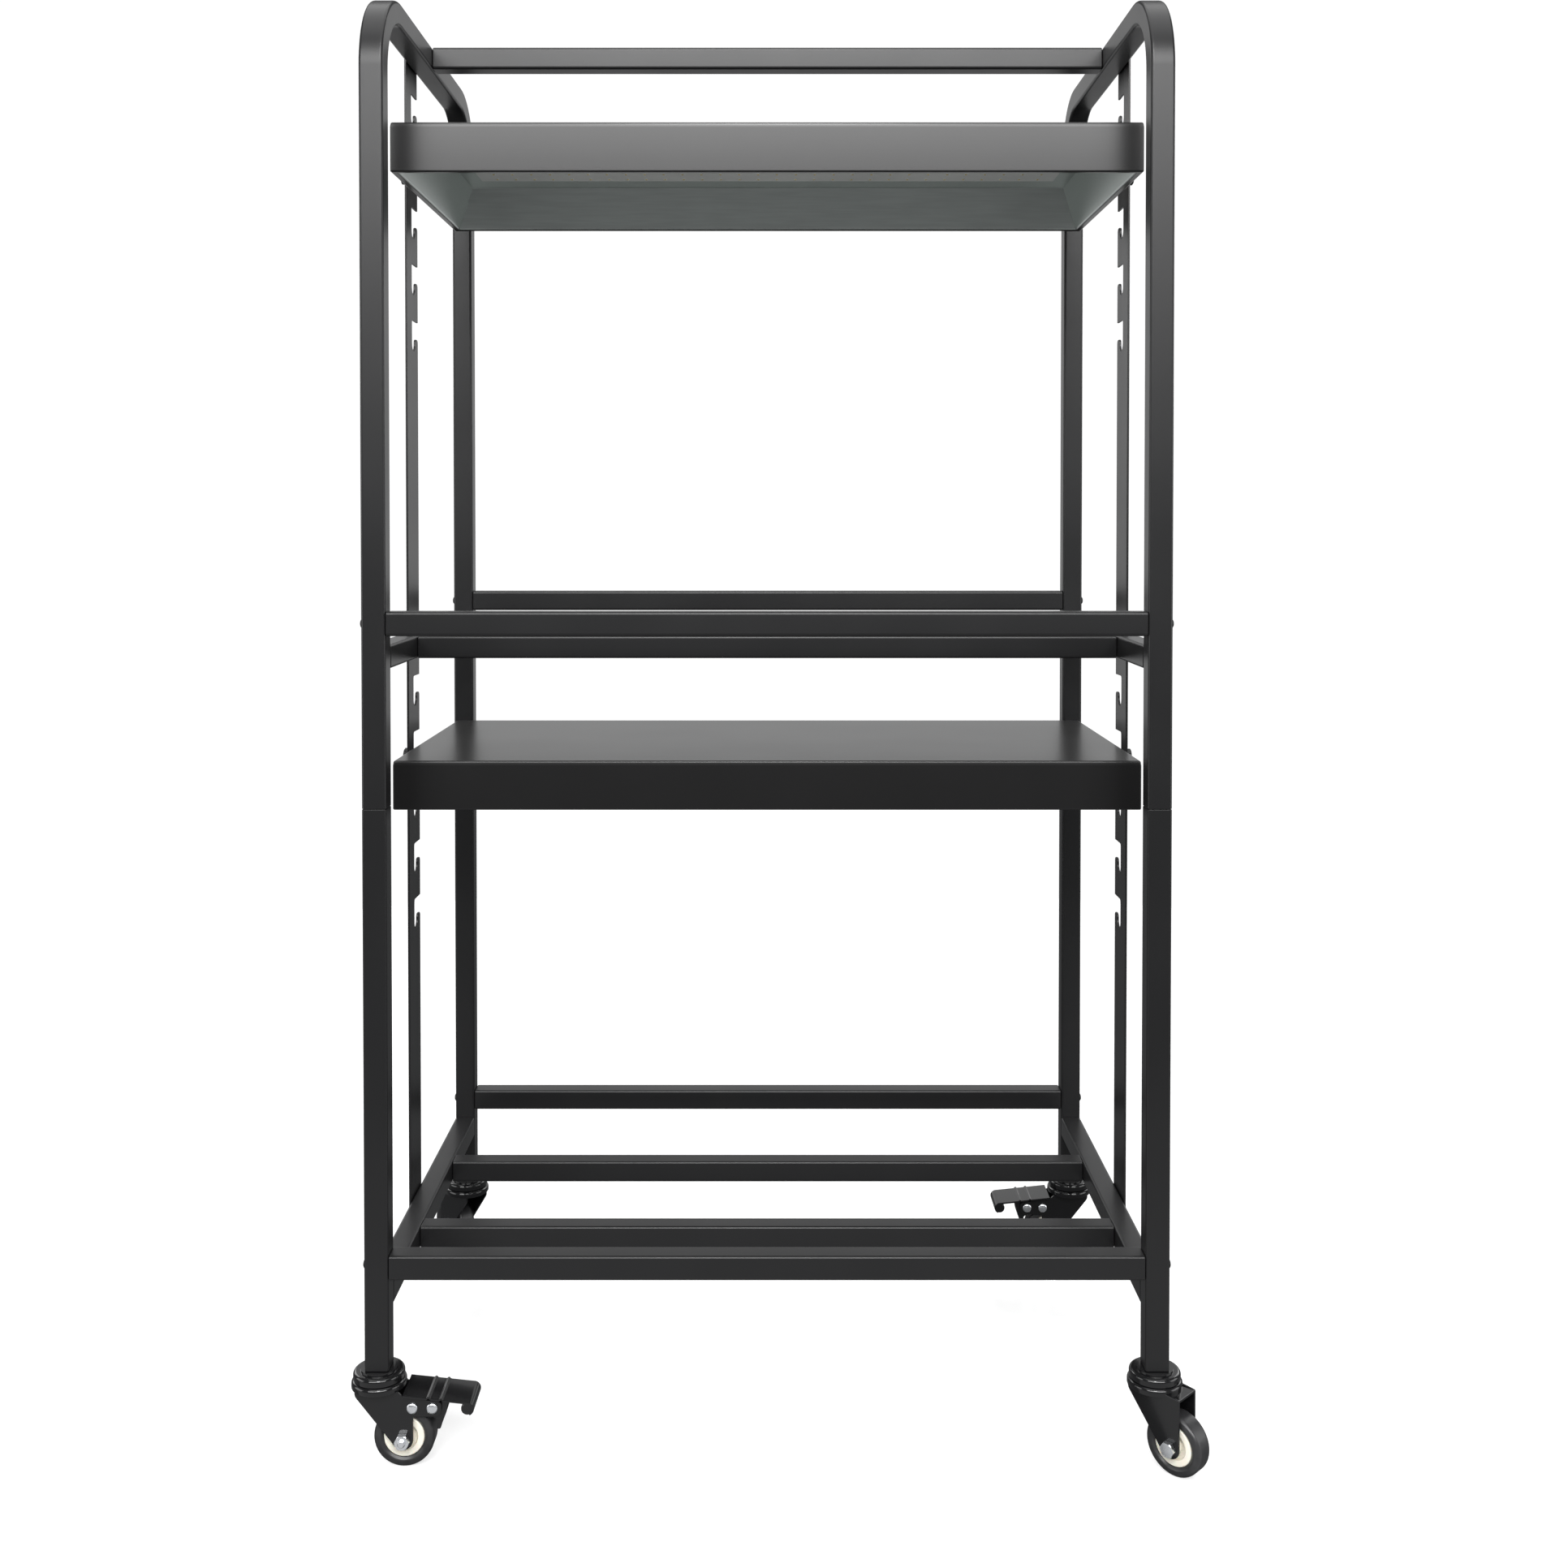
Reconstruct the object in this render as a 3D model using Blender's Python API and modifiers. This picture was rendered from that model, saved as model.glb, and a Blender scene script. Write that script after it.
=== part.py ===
"""Two-shelf plant stand on casters, with a grow-light hood hung over each shelf.

Metres, +Z up, +X to the right and +Y to the rear. The origin is on the floor, under
the middle of the frame. The two side frames are bent square tube. Rails and cross bars
are bolted between them, a notched strip on each side carries the hoods by their pivot
screws, and each leg stands on a swivel caster.
"""

import math

import bmesh
import bpy
from mathutils import Matrix, Vector

# Frame
frame_width = 0.660
frame_depth = 0.407
frame_height = 1.215
tube_side = 0.020
tube_wall = 0.0012
tube_corner_radius = 0.0016
bend_radius = 0.060
bend_steps = 6
seam_height = 0.542
spigot_length = 0.040
piece_gap = 0.0003
cut_overrun = 0.002
merge_distance = 0.00001
bevel_segments = 2
bevel_angle = math.radians(50)

# Shelves: the top of the long rails, from the floor
lower_shelf_height = 0.1748
upper_shelf_height = 0.703
side_rail_drop = 0.028
cross_bar_spacing = 0.147

# Bolts and locating pins of the bars, and the plugs welded into the bar ends to hold them
bolt_head_radius = 0.004
bolt_head_height = 0.0024
bolt_shank_radius = 0.0025
bolt_sides = 8
pin_rise = 0.0063
pin_head_radius = 0.0019
pin_head_height = 0.0011
pin_shank_radius = 0.0013
pin_sides = 6
head_shoulder_share = 0.62
head_crown_share = 0.8
plug_length = 0.014
plug_setback = 0.0005
plug_below_bolt = 0.0045
short_screw_length = 0.006
head_weld = 0.0004

# Notched strips
strip_thickness = 0.002
strip_spine = 0.020
pocket_width = 0.0145
lip_width = 0.010
lip_height = 0.0114
notch_opening = 0.0284
notch_slant = 0.0018
notch_pitch = 0.0524
notch_count = 5
hung_notch = 3
strip_end_margin = 0.002

# Grow-light hoods: the middle of each hangs below the upper shelf or the top of the frame
lower_hood_drop = 0.1515
upper_hood_drop = 0.122
hood_side_gap = 0.0113
hood_depth = 0.283
hood_size_z = 0.042
hood_sheet = 0.001
hood_flange = 0.005
hood_edge = 0.0012
pivot_rise = 0.0045
reflector_sheet = 0.0008
reflector_splay = 0.016
reflector_flange = 0.004
board_end_gap = 0.0177
board_side_gap = 0.0402
board_thickness = 0.0016
driver_length = 0.240
driver_depth = 0.012
driver_height = 0.012

# Pivot screws with their knobs and nuts
knob_radius = 0.008
knob_thickness = 0.008
knob_rounding = 0.002
knob_clearance = 0.0005
shoulder_radius = 0.0045
thread_radius = 0.0028
thread_length = 0.008
nut_thickness = 0.004
nut_radius = 0.0048
screw_sides = 12

# Power inlet on the back of each hood: one plate with a socket and a rocker switch
control_drop = 0.009
switch_inset = 0.079
socket_reach = 0.018
bezel_margin = 0.0018
bezel_height = 0.0122
bezel_thickness = 0.0014
switch_length = 0.0134
switch_height = 0.0086
switch_depth = 0.0105
rocker_radius = 0.0055
rocker_height = 0.0062
rocker_end_rise = 0.0023
rocker_dip = 0.0007
rocker_sink = 0.001
rocker_clearance = 0.0004
rocker_lean = math.radians(10)
rocker_steps = 8
jack_body_radius = 0.0048
jack_body_depth = 0.010
jack_bore_radius = 0.0028
jack_bore_depth = 0.008
jack_pin_radius = 0.001
jack_pin_setback = 0.001

# Casters
wheel_radius = 0.025
tyre_width = 0.018
tyre_bore_radius = 0.017
tyre_shoulder = 0.003
tyre_sides = 24
hub_rim_width = 0.0165
hub_rim_inner_radius = 0.0112
hub_web_thickness = 0.007
hub_boss_radius = 0.0065
hub_boss_width = 0.021
hub_sides = 16
wheel_side_clearance = 0.0006
wheel_headroom = 0.015
caster_trail = 0.022
crown_radius = 0.0225
crown_height = 0.006
crown_rounding = 0.0015
crown_sides = 20
ring_radius = 0.021
ring_height = 0.0067
ring_rounding = 0.0015
seat_radius = 0.015
seat_height = 0.0015
king_pin_radius = 0.004
king_pin_head_radius = 0.0075
king_pin_head_height = 0.003
stem_radius = 0.0055
stem_neck = 0.003
stem_sides = 16
expander_length = 0.028
fork_plate_thickness = 0.002
fork_back = 0.0175
fork_back_drop = 0.004
fork_eye_radius = 0.0085
fork_eye_steps = 6
fork_weld = 0.001
axle_radius = 0.0032
axle_hex_radius = 0.0064
axle_head_thickness = 0.0045
axle_nut_thickness = 0.005
axle_end_length = 0.002
axle_sides = 8
axle_hex_sides = 6
braked_swivel = 0.0
free_swivel = math.radians(-45)
half_turn = math.pi

# Wheel brake on two of the casters
rivet_over_wheel = 0.0015
near_rivet_reach = 0.0079
far_rivet_reach = 0.0243
rivet_radius = 0.002
rivet_head_radius = 0.0046
rivet_head_height = 0.0022
cheek_margin = 0.0075
cheek_top_margin = 0.005
cheek_shoulder_rise = 0.009
pedal_width = 0.034
pedal_thickness = 0.0018
pedal_rise = 0.0098
pedal_reach = 0.081
pedal_crown_gap = 0.0025
pedal_tip_radius = 0.0075
pedal_tip_steps = 6
pedal_tip_turn = math.radians(70)
pedal_slope = math.radians(6)
ridge_height = 0.0013
ridge_width = 0.003
ridge_place_shares = (0.40, 0.60)
arm_thickness = 0.002
arm_back = 0.0115
arm_front = 0.013
arm_neck_share = 0.4
arm_waist_share = 0.8
arm_waist = 0.003
shoe_drop = 0.0185
shoe_gap = 0.0036
shoe_thickness = 0.003
shoe_height = 0.008

# Places that follow from the sizes
leg_x = (frame_width - tube_side) / 2
leg_y = (frame_depth - tube_side) / 2
inner_x = frame_width / 2 - tube_side
inner_y = frame_depth / 2 - tube_side
top_tube_z = frame_height - tube_side / 2
crown_bottom = 2 * wheel_radius + wheel_headroom
crown_top = crown_bottom + crown_height
ring_bottom = crown_top + piece_gap
ring_top = ring_bottom + ring_height
seat_top = ring_top + seat_height
leg_bottom = seat_top + piece_gap
bore_side = tube_side - 2 * tube_wall
spigot_side = bore_side - 2 * piece_gap
bolt_hole_radius = bolt_shank_radius + piece_gap
pin_hole_radius = pin_shank_radius + piece_gap
bar_end_x = inner_x - piece_gap
outer_bolt_x = frame_width / 2 + piece_gap
strip_inner_x = frame_width / 2 + piece_gap
strip_outer_x = strip_inner_x + strip_thickness
knob_inner_x = strip_outer_x + knob_clearance
lower_hood_height = upper_shelf_height - lower_hood_drop
upper_hood_height = frame_height - upper_hood_drop
hood_width = 2 * (strip_inner_x - hood_side_gap)
reflector_inset = hood_sheet + piece_gap
reflector_width = hood_width - 2 * (reflector_inset + reflector_flange)
reflector_depth = hood_depth - 2 * (reflector_inset + reflector_flange)
board_length = reflector_width - 2 * (reflector_splay + board_end_gap)
board_width = reflector_depth - 2 * (reflector_splay + board_side_gap)
switch_offset = hood_width / 2 - switch_inset
socket_offset = switch_offset + socket_reach
control_z = hood_size_z / 2 - pivot_rise - control_drop
fork_inner_y = hub_boss_width / 2 + wheel_side_clearance
fork_outer_y = fork_inner_y + fork_plate_thickness
rivet_rise = wheel_radius + rivet_over_wheel
rivet_z = wheel_radius + rivet_rise
near_rivet_x = caster_trail + near_rivet_reach
far_rivet_x = caster_trail + far_rivet_reach

shelves = (("lower", lower_shelf_height), ("upper", upper_shelf_height))
hoods = (("lower", lower_hood_height), ("upper", upper_hood_height))
sides = (("left", -1), ("right", 1))
ends = (("front", -1), ("rear", 1))
casters = (
    ("front_left", -1, -1, braked_swivel, True),
    ("front_right", 1, -1, free_swivel, False),
    ("rear_right", 1, 1, braked_swivel + half_turn, True),
    ("rear_left", -1, 1, free_swivel + half_turn, False),
)


# Scene and materials

def clear_scene():
    for item in list(bpy.data.objects):
        bpy.data.objects.remove(item, do_unlink=True)


def new_collection(name):
    group = bpy.data.collections.new(name)
    bpy.context.scene.collection.children.link(group)
    return group


def new_material(name, colour, roughness, metallic=0.0):
    made = bpy.data.materials.new(name)
    made.use_nodes = True
    shader = made.node_tree.nodes["Principled BSDF"]
    shader.inputs["Base Color"].default_value = (*colour, 1.0)
    shader.inputs["Roughness"].default_value = roughness
    shader.inputs["Metallic"].default_value = metallic
    made.diffuse_color = (*colour, 1.0)
    return made


clear_scene()
stand = new_collection("plant_stand")
cutters = new_collection("cutters")
black_powder = new_material("black_powder_coat", (0.035, 0.035, 0.037), 0.42)
black_gloss = new_material("black_gloss_paint", (0.012, 0.012, 0.013), 0.16)
hood_paint = new_material("hood_paint", (0.045, 0.045, 0.048), 0.36)
reflector_finish = new_material("reflector_aluminium", (0.62, 0.65, 0.63), 0.3, 1.0)
zinc = new_material("zinc_plate", (0.75, 0.77, 0.80), 0.22, 1.0)
tyre_rubber = new_material("tyre_rubber", (0.035, 0.035, 0.035), 0.5)
cream_nylon = new_material("cream_nylon", (0.80, 0.76, 0.66), 0.4)
black_plastic = new_material("black_plastic", (0.02, 0.02, 0.02), 0.4)
board_white = new_material("white_board", (0.85, 0.86, 0.84), 0.5)
driver_shell = new_material("driver_shell", (0.78, 0.78, 0.76), 0.45)


# Object and modifier helpers

def mesh_from(bm, name, recalculate=True):
    mesh = bpy.data.meshes.new(name)
    if recalculate:
        bmesh.ops.recalc_face_normals(bm, faces=bm.faces)
    bm.to_mesh(mesh)
    bm.free()
    return mesh


def add_part(name, mesh, finish, place=(0, 0, 0), parent=None):
    part = bpy.data.objects.new(name, mesh)
    mesh.materials.clear()
    mesh.materials.append(finish)
    part.location = place
    part.parent = parent
    stand.objects.link(part)
    return part


def add_helper(name, mesh, place=(0, 0, 0), parent=None):
    """A cutter, or a shape that a Boolean joins to its part."""
    helper = bpy.data.objects.new(name, mesh)
    helper.location = place
    helper.parent = parent
    helper.hide_render = True
    helper.display_type = "WIRE"
    cutters.objects.link(helper)
    return helper


def add_pivot(name, place, turn=0.0, parent=None):
    pivot = bpy.data.objects.new(name, None)
    pivot.empty_display_size = tube_side
    pivot.location = place
    pivot.rotation_euler = (0, 0, turn)
    pivot.parent = parent
    stand.objects.link(pivot)
    return pivot


def boolean(part, helper, operation="DIFFERENCE"):
    step = part.modifiers.new(helper.name, "BOOLEAN")
    step.operation = operation
    step.solver = "EXACT"
    step.object = helper


def round_edges(part, width):
    step = part.modifiers.new("rounded edges", "BEVEL")
    step.width = width
    step.segments = bevel_segments
    step.limit_method = "ANGLE"
    step.angle_limit = bevel_angle


def give_wall(part, wall):
    step = part.modifiers.new("wall", "SOLIDIFY")
    step.thickness = wall
    step.offset = -1
    step.use_even_offset = True
    step.use_quality_normals = True


def smooth(mesh, angle=40):
    mesh.shade_smooth()
    mesh.set_sharp_from_angle(angle=math.radians(angle))


def evaluated_mesh(item):
    graph = bpy.context.evaluated_depsgraph_get()
    return bpy.data.meshes.new_from_object(item.evaluated_get(graph))


# Shape helpers

def box_bmesh(size, centre=(0, 0, 0)):
    bm = bmesh.new()
    bmesh.ops.create_cube(bm, size=1)
    bmesh.ops.scale(bm, vec=size, verts=bm.verts)
    bmesh.ops.translate(bm, vec=centre, verts=bm.verts)
    return bm


def box_mesh(name, size, centre=(0, 0, 0)):
    return mesh_from(box_bmesh(size, centre), name)


def square_ring(bm, side, corner, place):
    """Edges of a level square whose corners are cut off."""
    bmesh.ops.create_circle(
        bm, cap_ends=True, segments=4, radius=side / math.sqrt(2),
        matrix=Matrix.Translation(place) @ Matrix.Rotation(math.radians(45), 4, "Z"),
    )
    bmesh.ops.bevel(bm, geom=bm.verts[:], offset=corner, segments=1, affect="VERTICES")
    bmesh.ops.delete(bm, geom=bm.faces[:], context="FACES_ONLY")
    return bm.edges[:]


def edges_in(geometry):
    return [item for item in geometry if isinstance(item, bmesh.types.BMEdge)]


def verts_in(geometry):
    return [item for item in geometry if isinstance(item, bmesh.types.BMVert)]


def extruded(bm, rim, step):
    """A straight stretch from the rim, and its new rim."""
    new = bmesh.ops.extrude_edge_only(bm, edges=rim)["geom"]
    bmesh.ops.translate(bm, vec=step, verts=verts_in(new))
    return edges_in(new)


def drawn_in(bm, rim, share):
    """A flat step from the rim to a smaller one about the Z axis."""
    new = bmesh.ops.extrude_edge_only(bm, edges=rim)["geom"]
    bmesh.ops.scale(bm, vec=(share, share, 1), verts=verts_in(new))
    return edges_in(new)


def rods_mesh(name, places, radius, length, sides_count, turn=Matrix.Identity(4)):
    """Equal rods, along Z until they are turned, each with its middle at its place."""
    bm = bmesh.new()
    for place in places:
        bmesh.ops.create_cone(
            bm, cap_ends=True, segments=sides_count, radius1=radius, radius2=radius,
            depth=length, matrix=Matrix.Translation(place) @ turn,
        )
    return mesh_from(bm, name)


def along_x(direction=1):
    return Matrix.Rotation(math.radians(90) * direction, 4, "Y")


def along_y(direction=1):
    return Matrix.Rotation(math.radians(-90) * direction, 4, "X")


def turned_part(name, profile, steps, closed=False):
    """An unlinked object whose Screw modifier turns a (radius, height) profile round Z."""
    count = len(profile)
    edges = [(i, i + 1) for i in range(count - 1)]
    if closed:
        edges.append((count - 1, 0))
    mesh = bpy.data.meshes.new(name)
    mesh.from_pydata([(radius, 0, height) for radius, height in profile], edges, [])
    part = bpy.data.objects.new(name, mesh)
    turn = part.modifiers.new("turned", "SCREW")
    turn.axis = "Z"
    turn.angle = math.tau
    turn.steps = steps
    turn.render_steps = steps
    turn.use_merge_vertices = True
    turn.merge_threshold = merge_distance
    turn.use_smooth_shade = True
    return part


def turned_mesh(name, profile, steps, closed=False):
    part = turned_part(name, profile, steps, closed)
    cutters.objects.link(part)
    mesh = evaluated_mesh(part)
    mesh.name = name
    bpy.data.objects.remove(part)
    smooth(mesh)
    return mesh


def outline_mesh(name, outlines, thickness):
    """Flat outlines in X and Y, the first outside and the rest holes, thick along Z."""
    curve = bpy.data.curves.new(name, "CURVE")
    curve.dimensions = "2D"
    curve.fill_mode = "BOTH"
    curve.extrude = thickness / 2
    for outline in outlines:
        spline = curve.splines.new("POLY")
        spline.points.add(len(outline) - 1)
        for point, place in zip(spline.points, outline):
            point.co.xy = place
        spline.use_cyclic_u = True
    shape = bpy.data.objects.new(name, curve)
    cutters.objects.link(shape)
    mesh = evaluated_mesh(shape)
    bpy.data.objects.remove(shape)
    bm = bmesh.new()
    bm.from_mesh(mesh)
    bmesh.ops.remove_doubles(bm, verts=bm.verts, dist=merge_distance)
    return mesh_from(bm, name)


def arc(centre, radius, start, end, steps):
    points = []
    for i in range(steps + 1):
        angle = start + (end - start) * i / steps
        points.append((centre[0] + radius * math.cos(angle),
                       centre[1] + radius * math.sin(angle)))
    return points


def circle(centre, radius, steps):
    return arc(centre, radius, 0, math.tau, steps)[:-1]


def joined_mesh(name, placed):
    """One mesh of separate solids, from pairs of a mesh and its place."""
    bm = bmesh.new()
    for mesh, place in placed:
        copy = mesh.copy()
        copy.transform(place)
        bm.from_mesh(copy)
        bpy.data.meshes.remove(copy)
    made = bpy.data.meshes.new(name)
    bm.to_mesh(made)
    bm.free()
    return made


upright = Matrix.Rotation(math.radians(90), 4, "X")
side_plane = Matrix(((0, 0, 1, 0), (1, 0, 0, 0), (0, 1, 0, 0), (0, 0, 0, 1)))


# Frame tubes

def square_tube(name, axis, length, place):
    """A hollow tube along one axis, with open ends."""
    bm = bmesh.new()
    rim = square_ring(bm, tube_side, tube_corner_radius, (0, 0, -length / 2))
    extruded(bm, rim, (0, 0, length))
    if axis == 0:
        bmesh.ops.transform(bm, matrix=along_x(), verts=bm.verts)
    elif axis == 1:
        bmesh.ops.transform(bm, matrix=along_y(), verts=bm.verts)
    tube = add_part(name, mesh_from(bm, name), black_powder, place)
    give_wall(tube, tube_wall)
    return tube


def drill_x(part, name, places, radius, length, sides_count=bolt_sides):
    """Holes along X, each with its middle at its place."""
    holes = rods_mesh(name, places, radius, length, sides_count, along_x())
    boolean(part, add_helper(name, holes))


def bent(bm, rim, centre):
    """A quarter bend about X, and its new rim."""
    turned = bmesh.ops.spin(
        bm, geom=rim, cent=centre, axis=(1, 0, 0), angle=-math.radians(90), steps=bend_steps)
    return edges_in(turned["geom_last"])


def hoop(name, direction):
    """Upper half of a side frame: two legs and the top tube, in one bent piece."""
    start = seam_height + piece_gap / 2
    straight_top = top_tube_z - bend_radius
    bend_y = leg_y - bend_radius
    bm = bmesh.new()
    rim = square_ring(bm, tube_side, tube_corner_radius, (0, -leg_y, start))
    rim = extruded(bm, rim, (0, 0, straight_top - start))
    rim = bent(bm, rim, (0, -bend_y, straight_top))
    rim = extruded(bm, rim, (0, 2 * bend_y, 0))
    rim = bent(bm, rim, (0, bend_y, straight_top))
    extruded(bm, rim, (0, 0, start - straight_top))
    part = add_part(name, mesh_from(bm, name), black_powder, (direction * leg_x, 0, 0))
    give_wall(part, tube_wall)
    return part


def lower_leg(name, x, y):
    """Lower leg, drawn in at its top to a spigot that stands inside the hoop."""
    shoulder = seam_height - piece_gap / 2
    bm = bmesh.new()
    rim = square_ring(bm, tube_side, tube_corner_radius, (0, 0, leg_bottom))
    rim = extruded(bm, rim, (0, 0, shoulder - leg_bottom))
    rim = drawn_in(bm, rim, spigot_side / tube_side)
    extruded(bm, rim, (0, 0, piece_gap / 2 + spigot_length))
    leg = add_part(name, mesh_from(bm, name), black_powder, (x, y, 0))
    give_wall(leg, tube_wall)
    return leg


def rail_bolt_places(direction, height):
    z = height - tube_side / 2
    return [(direction * leg_x, way * leg_y, z) for _, way in ends]


def cross_bar_bolt_places(direction, height):
    z = height - side_rail_drop - tube_side / 2
    return [(direction * leg_x, way * cross_bar_spacing / 2, z) for _, way in ends]


def drill_leg(part, name, places):
    """Bolt holes through a leg, and above each the hole of its locating pin."""
    through = tube_side + 2 * cut_overrun
    pins = [(x, y, z + pin_rise) for x, y, z in places]
    drill_x(part, name + "_bolt_holes", places, bolt_hole_radius, through)
    drill_x(part, name + "_pin_holes", pins, pin_hole_radius, through, pin_sides)


def side_frames():
    for side, direction in sides:
        name = "hoop_" + side
        part = hoop(name, direction)
        drill_leg(part, name, rail_bolt_places(direction, upper_shelf_height))
        drill_x(part, name + "_top_hole", [(direction * leg_x, 0, top_tube_z)],
                bolt_hole_radius, tube_side + 2 * cut_overrun)
        for end, way in ends:
            name = "lower_leg_" + end + "_" + side
            leg = lower_leg(name, direction * leg_x, way * leg_y)
            places = rail_bolt_places(direction, lower_shelf_height)
            drill_leg(leg, name, [place for place in places if place[1] * way > 0])


def fastener_profile(head_radius, head_height, shank_radius, length):
    return [
        (0, head_height),
        (head_radius * head_shoulder_share, head_height * head_crown_share),
        (head_radius, 0),
        (shank_radius, 0),
        (shank_radius, -length),
        (0, -length),
    ]


def fastened_bar(name, y, z, head_x, pinned):
    """A bar with plugged ends, and the bolts and pins by which it is held."""
    bar = square_tube(name, 0, 2 * bar_end_x, (0, y, z))
    plug_height = plug_below_bolt + (tube_side - tube_wall) / 2
    plug = box_mesh(name + "_plug", (plug_length, tube_side - tube_wall, plug_height))
    plug_x = bar_end_x - plug_setback - plug_length / 2
    plug_z = z + plug_height / 2 - plug_below_bolt
    shank = head_x - bar_end_x + plug_length / 2
    bolt = turned_mesh("bolt", fastener_profile(
        bolt_head_radius, bolt_head_height, bolt_shank_radius, shank), bolt_sides)
    pin = turned_mesh("pin", fastener_profile(
        pin_head_radius, pin_head_height, pin_shank_radius, shank), pin_sides)
    plugs = []
    fasteners = []
    for _, direction in sides:
        turn = along_x(direction)
        plugs.append((plug, Matrix.Translation((direction * plug_x, y, plug_z))))
        fasteners.append((bolt, Matrix.Translation((direction * head_x, y, z)) @ turn))
        if pinned:
            fasteners.append((pin, Matrix.Translation((direction * head_x, y, z + pin_rise)) @ turn))
    boolean(bar, add_helper(name + "_plugs", joined_mesh(name + "_plugs", plugs)), "UNION")
    bolts = joined_mesh(name + "_bolts", fasteners)
    boolean(bar, add_helper(name + "_bolts", bolts), "UNION")


def shelf(name, height):
    """Long rails front and rear, side rails lower down, and two cross bars between these."""
    side_length = 2 * (inner_y - piece_gap)
    rail_z = height - tube_side / 2
    side_z = rail_z - side_rail_drop
    for end, way in ends:
        fastened_bar("shelf_" + name + "_rail_" + end, way * leg_y, rail_z, outer_bolt_x, True)
    for end, way in ends:
        bar_y = way * cross_bar_spacing / 2
        fastened_bar("shelf_" + name + "_cross_bar_" + end, bar_y, side_z, outer_bolt_x, False)
    for side, direction in sides:
        part_name = "shelf_" + name + "_side_rail_" + side
        rail = square_tube(part_name, 1, side_length, (direction * leg_x, 0, side_z))
        drill_x(rail, part_name + "_bolt_holes", cross_bar_bolt_places(direction, height),
                bolt_hole_radius, tube_side + 2 * cut_overrun)
        screw_place = (direction * frame_width / 2, 0, side_z)
        drill_x(rail, part_name + "_screw_hole", [screw_place], bolt_hole_radius,
                2 * (tube_wall + cut_overrun))


# Notched strips

def notch_points(pocket_bottom):
    """The rear edge of the strip past one notch, from the bottom up."""
    pocket_radius = pocket_width / 2
    tip_radius = lip_width / 2
    lip_rear = pocket_radius + lip_width
    tip_z = pocket_bottom + lip_height - tip_radius
    tip = arc((pocket_radius + tip_radius, tip_z), tip_radius, 0, math.pi, 4)
    pocket = arc((0, pocket_bottom + pocket_radius), pocket_radius, 0, -math.pi, 6)
    top = [
        (-pocket_radius, pocket_bottom + notch_opening),
        (lip_rear, pocket_bottom + notch_opening - notch_slant),
    ]
    return tip + pocket + top


def notched_strips():
    bottom = lower_shelf_height - side_rail_drop - tube_side + strip_end_margin
    top = frame_height - strip_end_margin
    front = -(pocket_width / 2 + strip_spine)
    rear = pocket_width / 2 + lip_width
    outline = [(front, bottom), (rear, bottom)]
    for _, hood_z in hoods:
        hung = hood_z + pivot_rise - shoulder_radius - piece_gap
        for i in range(notch_count):
            outline += notch_points(hung + (i - hung_notch) * notch_pitch)
    outline += [(rear, top), (front, top)]
    outline = outline[::-1]
    hole = circle((0, top_tube_z), bolt_hole_radius, bolt_sides)
    screw_length = strip_thickness + piece_gap + tube_wall + short_screw_length
    screw = turned_mesh("strip_screw", fastener_profile(
        bolt_head_radius, bolt_head_height, bolt_shank_radius, screw_length), bolt_sides)
    for side, direction in sides:
        name = "notched_strip_" + side
        mesh = outline_mesh(name, [outline, hole], strip_thickness)
        mesh.transform(side_plane)
        x = direction * (strip_inner_x + strip_thickness / 2)
        strip = add_part(name, mesh, black_powder, (x, 0, 0))
        screws = []
        for _, height in shelves:
            z = height - side_rail_drop - tube_side / 2
            place = Matrix.Translation((direction * (strip_outer_x - head_weld), 0, z))
            screws.append((screw, place @ along_x(direction)))
        helper = add_helper(name + "_screws", joined_mesh(name + "_screws", screws))
        boolean(strip, helper, "UNION")


# Hoods

def tray_mesh(name, size, splay, flange, way):
    """A tray open below: its walls lean in to the top, and a flange runs round the rim."""
    bm = box_bmesh(size)
    bmesh.ops.delete(bm, geom=[face for face in bm.faces if face.normal.z < -0.5], context="FACES_ONLY")
    for vert in bm.verts:
        if vert.co.z > 0:
            vert.co.x -= math.copysign(splay, vert.co.x)
            vert.co.y -= math.copysign(splay, vert.co.y)
    rim = [edge for edge in bm.edges if edge.is_boundary]
    for vert in verts_in(bmesh.ops.extrude_edge_only(bm, edges=rim)["geom"]):
        vert.co.x += math.copysign(flange, vert.co.x) * way
        vert.co.y += math.copysign(flange, vert.co.y) * way
    return mesh_from(bm, name, recalculate=False)


def hood_housing(name, pivot):
    mesh = tray_mesh(name + "_housing", (hood_width, hood_depth, hood_size_z), 0, hood_flange, -1)
    housing = add_part(name + "_housing", mesh, hood_paint, (0, 0, -pivot_rise), pivot)
    round_edges(housing, hood_edge)
    give_wall(housing, hood_sheet)
    wall_cut = 2 * (hood_sheet + cut_overrun)
    rear = hood_depth / 2
    pivot_holes = rods_mesh(
        name + "_pivot_holes", [(direction * hood_width / 2, 0, 0) for _, direction in sides],
        thread_radius + piece_gap, wall_cut, screw_sides, along_x())
    boolean(housing, add_helper(name + "_pivot_holes", pivot_holes, parent=pivot))
    socket_hole = rods_mesh(name + "_socket_hole", [(socket_offset, rear, control_z)],
                            jack_body_radius + piece_gap, wall_cut, screw_sides, along_y())
    boolean(housing, add_helper(name + "_socket_hole", socket_hole, parent=pivot))
    opening = (switch_length + 2 * piece_gap, wall_cut, switch_height + 2 * piece_gap)
    switch_hole = box_mesh(name + "_switch_hole", opening, (switch_offset, rear, control_z))
    boolean(housing, add_helper(name + "_switch_hole", switch_hole, parent=pivot))


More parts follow.
